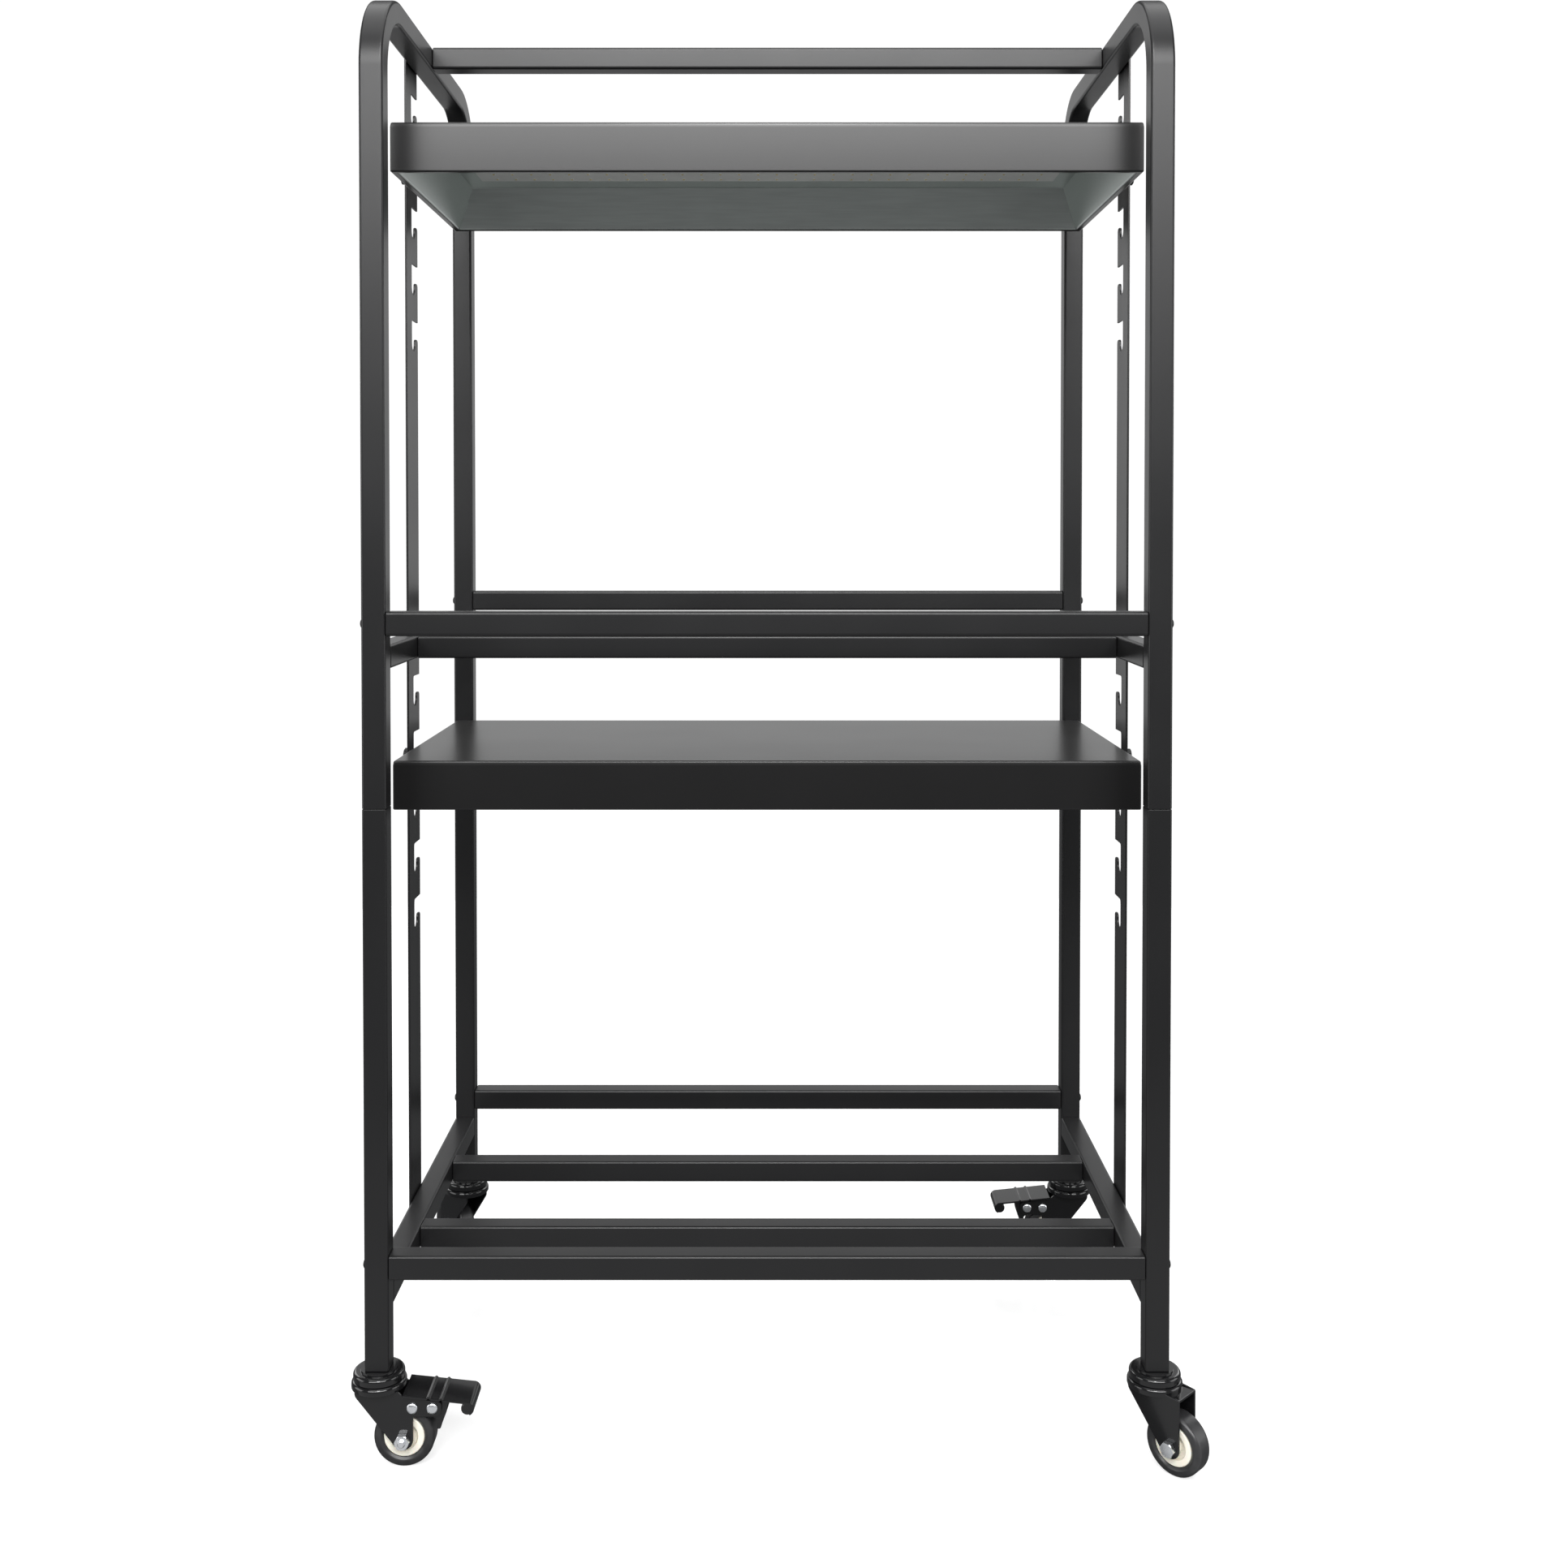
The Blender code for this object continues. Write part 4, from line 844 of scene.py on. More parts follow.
def build_frame_fasteners(settings):
    """Domed bolts at every joint of the frame, and the small locating pins above them."""
    bolts = []
    pins = []
    for _, direction in LEFT_RIGHT:
        out = (direction, 0, 0)
        x = direction * (FRAME_SIDE_X + GAP)
        for level in LEVELS:
            rail_z = SHELF_Z[level] - TUBE / 2
            for _, way in FRONT_REAR:
                bolts.append(((x, way * LEG_Y, rail_z), out))
                pins.append(((x, way * LEG_Y, rail_z + PIN_ABOVE_BOLT), out))
                bolts.append(((x, way * CROSS_BAR_Y, SIDE_RAIL_Z[level]), out))
            bolts.append(((direction * (STRIP_OUT_X - 0.0002), 0, SIDE_RAIL_Z[level]), out))
        bolts.append(((direction * (STRIP_OUT_X + GAP), 0, TOP_Z), out))
    add_fasteners("frame_bolts", bolts, "black_powder_coat", "frame", Head_Radius=settings.bolt_head_radius,
                  Head_Height=BOLT_RISE, Shank_Radius=0.0024, Shank_Length=FASTENER_SHANK)
    add_fasteners("locating_pins", pins, "black_powder_coat", "frame", Head_Radius=0.0019,
                  Head_Height=0.0011, Shank_Radius=0.0012, Shank_Length=FASTENER_SHANK)


def notch_edge(pocket_bottom):
    """The rear edge of a side strip past one hanging notch, from the bottom up."""
    rear = NOTCH_RADIUS + LIP_DEPTH
    tip_z = pocket_bottom + LIP_HEIGHT - NOTCH_CORNER
    tip = arc((rear - NOTCH_CORNER, tip_z), NOTCH_CORNER, 0, math.pi / 2, 5)
    tip += arc((NOTCH_RADIUS + NOTCH_CORNER, tip_z), NOTCH_CORNER, math.pi / 2, math.pi, 5)
    bowl = arc((0, pocket_bottom + NOTCH_RADIUS), NOTCH_RADIUS, 0, -math.pi, 14)
    roof = [(-NOTCH_RADIUS, pocket_bottom + NOTCH_HEIGHT + 0.0004), (rear, pocket_bottom + NOTCH_HEIGHT)]
    return tip + bowl + softened([bowl[-1], *roof], 0.003, 4, closed=False)[1:]


def build_side_strips():
    """Notched sheet strips that carry the hoods, one outside each side frame."""
    low, high = node_box("notched_strip_left")
    outline = [(low.y, low.z), (high.y, low.z)]
    for level in LEVELS:
        hung = PIVOT_Z[level] - KNOB_SHOULDER - GAP
        for i in range(NOTCH_COUNT):
            outline += notch_edge(hung + (i - HANGING_NOTCH) * NOTCH_PITCH)
    outline += [(high.y, high.z), (low.y, high.z)]
    first = softened([outline[-1], outline[0], outline[1]], 0.0015, 3, closed=False)[1:-1]
    last = softened([outline[-2], outline[-1], outline[0]], 0.0015, 3, closed=False)[1:-1]
    outline = first + outline[1:-1] + last
    for side, direction in LEFT_RIGHT:
        x = direction * (STRIP_X + STRIP_OUT_X) / 2
        strip = plate(outline[::-1], STRIP_OUT_X - STRIP_X, 0.0004,
                      Matrix.Translation((x, 0, 0)) @ AXES["x"])
        add_piece("notched_sheet_" + side, strip, "black_powder_coat", "frame", ("notched_strip_" + side,))


# Hoods

def open_tray(size, splay, flange, way):
    """A tray open below, its walls leaning in to the top, with a flange round its rim."""
    bm = bmesh.new()
    bmesh.ops.create_cube(bm, size=1)
    bmesh.ops.scale(bm, vec=size, verts=bm.verts)
    bmesh.ops.delete(bm, geom=[face for face in bm.faces if face.normal.z < -0.5], context="FACES_ONLY")
    for vert in bm.verts:
        if vert.co.z > 0:
            vert.co.x -= math.copysign(splay, vert.co.x)
            vert.co.y -= math.copysign(splay, vert.co.y)
    rim = [edge for edge in bm.edges if edge.is_boundary]
    new = bmesh.ops.extrude_edge_only(bm, edges=rim)["geom"]
    for vert in (part for part in new if isinstance(part, bmesh.types.BMVert)):
        vert.co.x += math.copysign(flange, vert.co.x) * way
        vert.co.y += math.copysign(flange, vert.co.y) * way
    return bm


def sheet_tray(name, bm, wall, fold):
    """Rounded folds and a wall thickness on an open tray."""
    item = link_mesh(name, bm)
    folds = item.modifiers.new("folds", "BEVEL")
    folds.width = fold
    folds.segments = 4
    folds.limit_method = "ANGLE"
    folds.angle_limit = math.radians(20)
    solid = item.modifiers.new("wall", "SOLIDIFY")
    solid.thickness = wall
    solid.offset = -1
    solid.use_even_offset = True
    solid.use_quality_normals = True
    return item


def lean_rim(bm, top, height, lean):
    """Lean the walls in over a short band below the top fold."""
    bmesh.ops.bisect_plane(bm, geom=bm.verts[:] + bm.edges[:] + bm.faces[:], dist=0.00001,
                           plane_co=(0, 0, top - height), plane_no=(0, 0, 1))
    for vert in bm.verts:
        if vert.co.z > top - 0.0001:
            vert.co.x -= math.copysign(lean, vert.co.x)
            vert.co.y -= math.copysign(lean, vert.co.y)


def rods_along(axis, places, radius, length):
    """Round rods along an axis, one about each place."""
    bm = bmesh.new()
    for place in places:
        bmesh.ops.create_cone(bm, cap_ends=True, segments=32, radius1=radius, radius2=radius,
                              depth=length, matrix=Matrix.Translation(place) @ along(axis))
    return bm


def build_hood_housings():
    """Folded sheet housings, with holes for the pivots, the switch and the socket."""
    for level in LEVELS:
        low, high = HOOD_BOX[level]
        pivot = PIVOT_Z[level]
        tray = open_tray(high - low, 0, HOOD_HEM, -1)
        bmesh.ops.translate(tray, vec=(low + high) / 2, verts=tray.verts)
        lean_rim(tray, high.z, RIM_BAND, RIM_LEAN)
        item = sheet_tray("hood_shell_" + level, tray, HOOD_SHEET, 0.0014)
        boolean(item, rods_along("x", [(low.x, 0, pivot), (high.x, 0, pivot)], PIVOT_RADIUS + GAP,
                                 HOOD_HOLE_DEPTH))
        control = high.z - CONTROL_DROP
        boolean(item, rods_along("y", [(SOCKET_X, high.y, control)], SOCKET_RADIUS + GAP, HOOD_HOLE_DEPTH))
        half = SWITCH_LENGTH / 2 + GAP
        deep = HOOD_HOLE_DEPTH / 2
        tall = SWITCH_HEIGHT / 2 + GAP
        boolean(item, rounded_block((SWITCH_X - half, high.y - deep, control - tall),
                                    (SWITCH_X + half, high.y + deep, control + tall), 0.0001, 1))
        complete_piece(item, "hood_paint", "hood_" + level, (f"hood_{level}_housing",))


def build_reflectors():
    """Splayed satin reflectors inside the hoods."""
    for level in LEVELS:
        low, high = node_box(f"hood_{level}_reflector")
        size = high - low - Vector((2 * REFLECTOR_FLANGE, 2 * REFLECTOR_FLANGE, 0))
        tray = open_tray(size, REFLECTOR_SPLAY, REFLECTOR_FLANGE, 1)
        bmesh.ops.translate(tray, vec=(low + high) / 2, verts=tray.verts)
        item = sheet_tray("satin_reflector_" + level, tray, REFLECTOR_SHEET, 0.0010)
        complete_piece(item, "reflector_aluminium", "hood_" + level, (f"hood_{level}_reflector",))


def build_light_boards(settings):
    """Light boards with their rows of emitters, and the driver behind each reflector."""
    for level in LEVELS:
        body = "hood_" + level
        low, high = node_box(f"hood_{level}_light_board")
        add_piece("emitter_board_" + level, rounded_block(low, high, 0.0003, 2), "white_board", body,
                  (f"hood_{level}_light_board",))
        middle = (low + high) / 2
        length = (high.x - low.x) * EMITTER_SPREAD[0]
        width = (high.y - low.y) * EMITTER_SPREAD[1]
        for name, slot, sides, radius, height, drop in EMITTER_PARTS:
            item = link_mesh(name + level, bpy.data.meshes.new(name))
            trees["emitter_rows"].grow(
                item, slot, Columns=settings.light_columns, Rows=settings.light_rows, Length=length,
                Width=width, Sides=sides, Radius=radius, Height=height,
                Centre=(middle.x, middle.y, low.z - drop))
            finish_piece(item, slot, body, angle=50)
        low, high = node_box(f"hood_{level}_driver")
        case = link_mesh("driver_case_" + level, rounded_block(low, high, 0.0012, 3))
        for x in (low.x + DRIVER_GROOVE_INSET, high.x - DRIVER_GROOVE_INSET):
            boolean(case, rounded_block(
                (x - DRIVER_GROOVE_HALF, low.y - 0.001, low.z - 0.001),
                (x + DRIVER_GROOVE_HALF, low.y + DRIVER_GROOVE_HALF, high.z + 0.001), 0.0001, 1))
        complete_piece(case, "driver_shell", body, (f"hood_{level}_driver",))


def build_power_inlets():
    """Socket and switch frame in one moulding on the back of each hood."""
    for level in LEVELS:
        high = HOOD_BOX[level][1]
        face = high.y + GAP
        control = high.z - CONTROL_DROP
        low_x = SWITCH_X - SWITCH_LENGTH / 2 - INLET_BORDER
        high_x = SOCKET_X + SOCKET_RADIUS + INLET_BORDER
        item = link_mesh("inlet_moulding_" + level, rounded_block(
            (low_x, face, control - INLET_HALF_HEIGHT),
            (high_x, face + INLET_FACE, control + INLET_HALF_HEIGHT), 0.0004, 3))
        boolean(item, rounded_block(
            (SWITCH_X - SWITCH_LENGTH / 2, face - 0.0105, control - SWITCH_HEIGHT / 2),
            (SWITCH_X + SWITCH_LENGTH / 2, face + 0.0007, control + SWITCH_HEIGHT / 2), 0.0003, 2), "UNION")
        socket = Matrix.Translation((SOCKET_X, face, control)) @ along("y")
        boolean(item, turned([
            (0, 0.0007), (SOCKET_RADIUS, 0.0007), (SOCKET_RADIUS, -0.0097), (0.0045, -0.010), (0, -0.010)],
            socket, 40), "UNION")
        boolean(item, rounded_block(
            (SWITCH_X - 0.0059, face + 0.0004 - 0.0059, control - 0.0035),
            (SWITCH_X + 0.0059, face + 0.004, control + 0.0035), 0.0001, 1))
        boolean(item, turned([
            (0, 0.004), (0.0034, 0.004), (0.0034, 0.0014), (0.0028, 0.0008), (0.0028, -0.008),
            (0.001, -0.008), (0.001, -0.0014), (0.0006, -0.001), (0, -0.001)], socket, 40))
        complete_piece(item, "black_plastic", "hood_" + level, (f"hood_{level}_power_inlet",), 35)


def build_switch_rockers():
    """Rocker of each switch, leaning to its off side."""
    for level in LEVELS:
        high = HOOD_BOX[level][1]
        rise = math.asin(ROCKER_RISE / ROCKER_RADIUS)
        outline = arc((0, 0), ROCKER_RADIUS, math.pi - rise, math.tau + rise, 28)
        outline += arc((0, ROCKER_RISE - 0.0007 + ROCKER_HOLLOW), ROCKER_HOLLOW,
                       -math.pi / 2 + 0.08, -math.pi / 2 - 0.08, 6)
        place = (SWITCH_X, high.y + GAP + INLET_FACE - 0.001, high.z - CONTROL_DROP)
        turn = Matrix.Translation(place) @ Matrix.Rotation(math.radians(10), 4, "Z")
        rocker = plate(outline, 0.0062, 0.0003, turn)
        add_piece("rocker_cap_" + level, rocker, "black_plastic", f"hood_{level}_switch",
                  (f"hood_{level}_switch_rocker",), 35)


def build_hanging_knobs(settings):
    """Ribbed knobs with their shoulders in the strips' notches, and the nuts inside the hoods."""
    for level in LEVELS:
        hood_x = HOOD_BOX[level][1].x
        inner = STRIP_OUT_X + KNOB_PLAY
        outer = inner + KNOB_LENGTH
        wall_out = hood_x + GAP
        nut_out = hood_x - HOOD_SHEET - GAP
        nut_in = nut_out - NUT_HEIGHT
        for side, direction in LEFT_RIGHT:
            profile = softened([
                (0, outer - 0.0010), (0.0035, outer - 0.0010), (0.0050, outer), (KNOB_RADIUS, outer),
                (0.0072, inner), (KNOB_SHOULDER, inner), (KNOB_SHOULDER, wall_out),
                (PIVOT_RADIUS, wall_out), (PIVOT_RADIUS, nut_in - 0.003), (0, nut_in - 0.003)],
                0.0008, 4, closed=False)
            item = link_mesh(f"hanging_knob_{level}_{side}", turned(profile, steps=72))
            trees["grip_ribs"].grow(item, "black_plastic", Count=settings.knob_ribs,
                                    Ring_Radius=KNOB_RADIUS, Rib_Radius=0.0008, Rib_Length=0.0064,
                                    Height=(inner + outer) / 2)
            nut = turned([(0.0024, nut_out), (0.0048, nut_out), (0.0048, nut_in), (0.0024, nut_in)],
                         steps=6, closed=True)
            boolean(item, nut, "UNION")
            apply_modifiers(item)
            item.data.transform(Matrix.Translation((0, 0, PIVOT_Z[level])) @ along("x", direction))
            tidy(item)
            finish_piece(item, "black_plastic", f"hood_{level}_hangers",
                         (f"hood_{level}_pivot_screw_{side}",))


# Casters

def swivel_place(x, y, turn):
    return Matrix.Translation((x * LEG_X, y * LEG_Y, 0)) @ Matrix.Rotation(turn, 4, "Z")


UPRIGHT = Matrix.Rotation(math.radians(90), 4, "X")


def build_caster_stems():
    """Fixed ring, seat and king pin of each caster, and the plug inside the leg."""
    for name, x, y, _, _ in CASTERS:
        ring_low = CROWN_HIGH + GAP
        ring_high = ring_low + RING_HEIGHT
        seat = ring_high + 0.0015
        pin_end = CROWN_LOW - GAP
        profile = [
            (0, seat + 0.030), (0.0080, seat + 0.030), (0.0080, seat + 0.0035), (0.0055, seat + 0.0033),
            (0.0055, seat), (0.015, seat), (0.0152, ring_high)]
        profile += arc((RING_RADIUS - 0.0027, ring_high - 0.0027), 0.0027, math.pi / 2, 0, 7)
        profile += [(RING_RADIUS, ring_low + 0.0006), (RING_RADIUS - 0.0006, ring_low), (0.004, ring_low),
                    (0.004, pin_end), (0.0075, pin_end)]
        profile += arc((0.0055, pin_end - 0.001), 0.002, 0, -math.pi / 2, 4)
        profile += [(0, pin_end - 0.003)]
        stem = turned(profile, Matrix.Translation((x * LEG_X, y * LEG_Y, 0)), 72)
        add_piece("swivel_ring_" + name, stem, "black_gloss_paint", "frame", (f"caster_{name}_stem",), 32)


def fork_side(braked):
    """Side view of a fork plate, from the crown down round the axle and up the front."""
    top = CROWN_LOW + 0.001
    back_z = CROWN_LOW - 0.004
    reach = math.hypot(TRAIL - FORK_BACK_X, WHEEL_RADIUS - back_z)
    bearing = math.atan2(WHEEL_RADIUS - back_z, TRAIL - FORK_BACK_X)
    start = bearing - math.asin(FORK_EYE_RADIUS / reach) - math.radians(90)
    eye = arc((TRAIL, WHEEL_RADIUS), FORK_EYE_RADIUS, start, 0, 18)
    points = softened([(FORK_BACK_X, top), (FORK_BACK_X, back_z), eye[0]], 0.004, 4, closed=False)[:-1]
    points += [Vector(point) for point in eye]
    front = TRAIL + FORK_EYE_RADIUS
    if braked:
        cheek = FAR_RIVET_X + 0.0075
        points += softened([
            (front, RIVET_Z - 0.012), (front, RIVET_Z - 0.0075), (FAR_RIVET_X + 0.0040, RIVET_Z - 0.0075),
            (cheek, RIVET_Z - 0.0040), (cheek, RIVET_Z + 0.005), (0.0225, RIVET_Z + 0.009),
            (FORK_FRONT_X, CROWN_LOW), (FORK_FRONT_X, top)], 0.0035, 4, closed=False)[1:]
    else:
        points += softened([
            (front, CROWN_LOW - 0.012), (front, CROWN_LOW + 0.0015), (FORK_FRONT_X, CROWN_LOW + 0.0025)],
            0.0012, 3, closed=False)[1:]
    return points


def build_caster_forks():
    """Domed crown and two side plates of each caster's fork."""
    for name, x, y, turn, braked in CASTERS:
        place = swivel_place(x, y, turn)
        profile = [(0.0043, CROWN_LOW), (0.0221, CROWN_LOW)]
        profile += arc((CROWN_RADIUS - 0.0005, CROWN_LOW + 0.0005), 0.0005, -math.pi / 2, 0, 3)[1:]
        profile += arc((CROWN_RADIUS - 0.0029, CROWN_HIGH - 0.0029), 0.0029, 0, math.pi / 2, 7)
        profile += [(0.0043, CROWN_HIGH)]
        item = link_mesh("swivel_fork_" + name, turned(profile, place, 80, closed=True))
        for _, direction in LEFT_RIGHT:
            y_middle = direction * (FORK_IN_Y + FORK_OUT_Y) / 2
            sheet = plate(fork_side(braked), FORK_OUT_Y - FORK_IN_Y, 0.0005,
                          place @ Matrix.Translation((0, y_middle, 0)) @ UPRIGHT)
            boolean(item, sheet, "UNION")
        if not braked:
            roof = rounded_block((0.012, -FORK_OUT_Y + 0.0002, CROWN_LOW - 0.0008),
                                 (FREE_FORK_REACH, FORK_OUT_Y - 0.0002, CROWN_LOW + 0.0013), 0.0006, 2)
            boolean(item, moved(roof, place), "UNION")
        bores = [((TRAIL, 0, WHEEL_RADIUS), AXLE_RADIUS + GAP)]
        if braked:
            bores.append(((FAR_RIVET_X, 0, RIVET_Z), RIVET_HOLE_RADIUS))
        for middle, radius in bores:
            boolean(item, moved(rods_along("y", [middle], radius, FORK_BORE_LENGTH), place))
        complete_piece(item, "black_gloss_paint", f"caster_{name}_swivel", (f"caster_{name}_fork",), 32)


def build_wheels():
    """Rubber tyres with rounded shoulders on moulded nylon cores."""
    for name, x, y, turn, _ in CASTERS:
        place = swivel_place(x, y, turn) @ Matrix.Translation((TRAIL, 0, WHEEL_RADIUS)) @ along("y")
        tyre = [(0.017, 0.0074), (0.0185, 0.0086)]
        tyre += arc((0.0200, 0.0056), 0.0034, math.radians(105), math.radians(70), 4)
        tyre += arc((0.0214, 0.0054), 0.0036, math.radians(66), 0, 8)
        tyre += [(0.02500, 0.0028), (0.0250, 0)]
        tyre += [(radius, -height) for radius, height in tyre[-2::-1]]
        add_piece("rubber_tyre_" + name, turned(tyre, place, 96, closed=True), "tyre_rubber",
                  f"caster_{name}_wheel", (f"caster_{name}_tyre",), 50)
        half = softened([
            (0.0035, 0.0105), (0.0065, 0.0105), (0.0068, 0.0036), (0.0108, 0.0034), (0.0114, 0.0082),
            (0.0160, 0.0080), (0.0167, 0.0072), (0.0167, 0.0)], 0.0008, 3, closed=False)
        core = [tuple(point) for point in half]
        core += [(radius, -height) for radius, height in core[-2::-1]]
        add_piece("wheel_core_" + name, turned(core, place, 96, closed=True), "cream_nylon",
                  f"caster_{name}_wheel", (f"caster_{name}_hub",), 40)


def hexagon(radius, low, high, chamfer_low, chamfer_high):
    """A hexagon bolt head or nut between two heights, its corners chamfered."""
    prism = turned([(0, low), (radius, low), (radius, high), (0, high)], steps=6)
    item = link_mesh("hexagon", prism)
    cut = 0.0009
    flat = radius * 0.9
    cone = [(0, low), (flat if chamfer_low else radius * 1.1, low), (radius * 1.06, low + cut),
            (radius * 1.06, high - cut), (flat if chamfer_high else radius * 1.1, high), (0, high)]
    boolean(item, turned(cone, steps=48), "INTERSECT")
    apply_modifiers(item)
    tidy(item)
    bm = bmesh.new()
    bm.from_mesh(item.data)
    bpy.data.objects.remove(item)
    return bm


def build_axles():
    """Axle bolts with chamfered hexagon heads, nuts and threaded ends."""
    for name, x, y, turn, braked in CASTERS:
        place = swivel_place(x, y, turn) @ Matrix.Translation((TRAIL, 0, WHEEL_RADIUS))
        place = place @ along("y", 1 if braked else -1)
        face = FORK_OUT_Y + GAP
        shank = [(0, face + 0.0025), (AXLE_RADIUS, face + 0.0025), (AXLE_RADIUS, -face - 0.0030)]
        for i in range(THREAD_TURNS):
            shank += [(AXLE_RADIUS, -face - 0.0032 - THREAD_PITCH * i),
                      (THREAD_ROOT, -face - 0.0034 - THREAD_PITCH * i)]
        shank += [(0.0027, -face - 0.0068), (0.0024, -face - 0.0070), (0, -face - 0.0070)]
        item = link_mesh("axle_bolt_" + name, turned(shank, steps=40))
        boolean(item, hexagon(AXLE_HEAD_RADIUS, face, face + AXLE_HEAD_HEIGHT, False, True), "UNION")
        boolean(item, hexagon(AXLE_HEAD_RADIUS, -face - AXLE_NUT_HEIGHT, -face, True, False), "UNION")
        apply_modifiers(item)
        item.data.transform(place)
        tidy(item)
        finish_piece(item, "zinc_plate", f"caster_{name}_swivel", (f"caster_{name}_axle",), 30)


def pedal_height(x):
    return 0.0098 - x * math.tan(PEDAL_SLOPE)


def pedal_side():
    """Side view of the pedal, from the far rivet: a sheet with two ridges and a rolled tip."""
    start = 0.0229 - FAR_RIVET_X
    end = PEDAL_REACH - PEDAL_ROLL - FAR_RIVET_X
    upper = [(start, pedal_height(start))]
    for share in (0.40, 0.60):
        middle = start + (end - start) * share
        for k in range(9):
            t = k / 8
            x = middle + (t - 0.5) * 0.0040
            upper.append((x, pedal_height(x) + PEDAL_RIDGE * math.sin(math.pi * t) ** 2))
    lower = [(px, pz - PEDAL_SHEET) for px, pz in upper]
    centre = (end, pedal_height(end) - PEDAL_ROLL)
    tip = math.radians(-70)
    outer = arc(centre, PEDAL_ROLL, math.pi / 2, tip, 18)
    inner = arc(centre, PEDAL_ROLL - PEDAL_SHEET, math.pi / 2, tip, 18)
    return upper + outer + inner[::-1] + lower[::-1]


def build_brake_pedals():
    """Ridged pedal, its two arms and the shoe that meets the tyre, on two of the casters."""
    for name, x, y, turn, _ in BRAKED_CASTERS:
        place = swivel_place(x, y, turn) @ Matrix.Translation((FAR_RIVET_X, 0, RIVET_Z))
        item = link_mesh("foot_brake_" + name, plate(pedal_side(), PEDAL_WIDTH, 0.0004, place @ UPRIGHT))
        reach = WHEEL_RADIUS + SHOE_CLEARANCE
        below = RIVET_Z - WHEEL_RADIUS + SHOE_LOW
        face = math.sqrt(reach ** 2 - below ** 2) - (FAR_RIVET_X - TRAIL)
        rear = face + 0.003
        arm = softened([
            (-0.0115, pedal_height(-0.0115) - PEDAL_SHEET / 2), (-0.0046, -0.0060),
            (face, SHOE_LOW + SHOE_HEIGHT), (face, SHOE_LOW), (rear, SHOE_LOW),
            (rear + 0.003, SHOE_LOW / 2), (0.013, pedal_height(0.013) - PEDAL_SHEET / 2)], 0.0012, 3)
        arm_y = FORK_IN_Y - GAP - 0.001
        for _, direction in LEFT_RIGHT:
            boolean(item, plate(arm, ARM_SHEET, 0.0003,
                                place @ Matrix.Translation((0, direction * arm_y, 0)) @ UPRIGHT), "UNION")
        shoe = rounded_block((face, -arm_y, SHOE_LOW), (rear, arm_y, SHOE_LOW + SHOE_HEIGHT), 0.0004, 2)
        boolean(item, moved(shoe, place), "UNION")
        roll_x = PEDAL_REACH - PEDAL_ROLL - FAR_RIVET_X
        roll_middle = Matrix.Translation((roll_x, 0, pedal_height(roll_x) - PEDAL_ROLL))
        radius = PEDAL_ROLL - 0.0005
        end = PEDAL_WIDTH / 2 - 0.0002
        profile = softened([(0, -end), (radius, -end), (radius, end), (0, end)], 0.0016, 3, closed=False)
        boolean(item, turned(profile, place @ roll_middle @ along("y"), 48), "UNION")
        complete_piece(item, "black_gloss_paint", f"caster_{name}_brake",
                       (f"caster_{name}_brake_pedal",), 32)


def build_rivets():
    """Bright domed rivets: one fixed in each braked fork, one that its pedal turns on."""
    for name, x, y, turn, _ in BRAKED_CASTERS:
        place = swivel_place(x, y, turn)
        side = place.to_3x3()
        for label, rivet_x, body in (("fixed", NEAR_RIVET_X, "swivel"), ("pedal", FAR_RIVET_X, "brake")):
            places = []
            for _, direction in LEFT_RIGHT:
                head = (rivet_x, direction * (FORK_OUT_Y + GAP), RIVET_Z)
                places.append((place @ Vector(head), side @ Vector((0, direction, 0))))
            add_fasteners(f"{label}_rivet_{name}", places, "zinc_plate", f"caster_{name}_{body}",
                          Head_Radius=0.0046, Head_Height=0.0022, Shank_Radius=0.0019,
                          Shank_Length=FORK_OUT_Y + GAP)


# Stage

# Lights: name, place, aim, width, height and watts
LIGHTS = (
    ("overhead_softbox", (0, 0, 3.4), (0, 0, 0), 3.2, 3.2, 60),
    ("high_front_softbox", (0, -3.0, 2.38), (0, 0, 1.0), 4.6, 1.1, 163),
    ("middle_front_card", (0, -3.1, 1.6), (0, 0, 0.9), 4.6, 0.8, 16),
    ("highlight_lamp", (0, -2.4, 2.7), (0, 0, 0.6), 0.5, 0.4, 26),
    ("floor_bounce", (0, -0.58, 0.004), (0, -0.58, 1.0), 2.4, 0.7, 2.2),
    ("rear_card", (0, 3.4, 1.3), (0, 0, 1.0), 5.0, 2.4, 21),
    ("rear_left_softbox", (-2.5, 2.5, 2.0), (0, 0, 0.7), 1.8, 1.8, 30),
    ("rear_right_softbox", (2.5, 2.5, 2.0), (0, 0, 0.7), 1.8, 1.8, 30),
    ("right_card", (2.6, -0.6, 0.9), (0, 0, 0.8), 1.6, 1.6, 21),
    ("left_card", (-2.6, -0.6, 0.9), (0, 0, 0.8), 1.6, 1.6, 21),
)
FLOOR_RADIUS = 1.9
BACKGROUND_STRENGTH = 1.04
FILL_COLOUR = (0.97, 0.985, 1.0, 1)
FILL_STRENGTH = 0.15
CAMERA_PLACE = (0.0033, -1.5189, 0.7768)
CAMERA_TILT = math.radians(88.873)
CAMERA_LENS = 37.24
CAMERA_SHIFT = (0.0083, -0.1474)


def area_light(name, place, aim, width, height, power):
    light = bpy.data.lights.new(name, "AREA")
    light.shape = "RECTANGLE"
    light.size = width
    light.size_y = height
    light.energy = power
    item = bpy.data.objects.new(name, light)
    item.location = place
    item.rotation_euler = (Vector(aim) - Vector(place)).to_track_quat("-Z", "Y").to_euler()
    item.visible_camera = False
    bpy.context.scene.collection.objects.link(item)


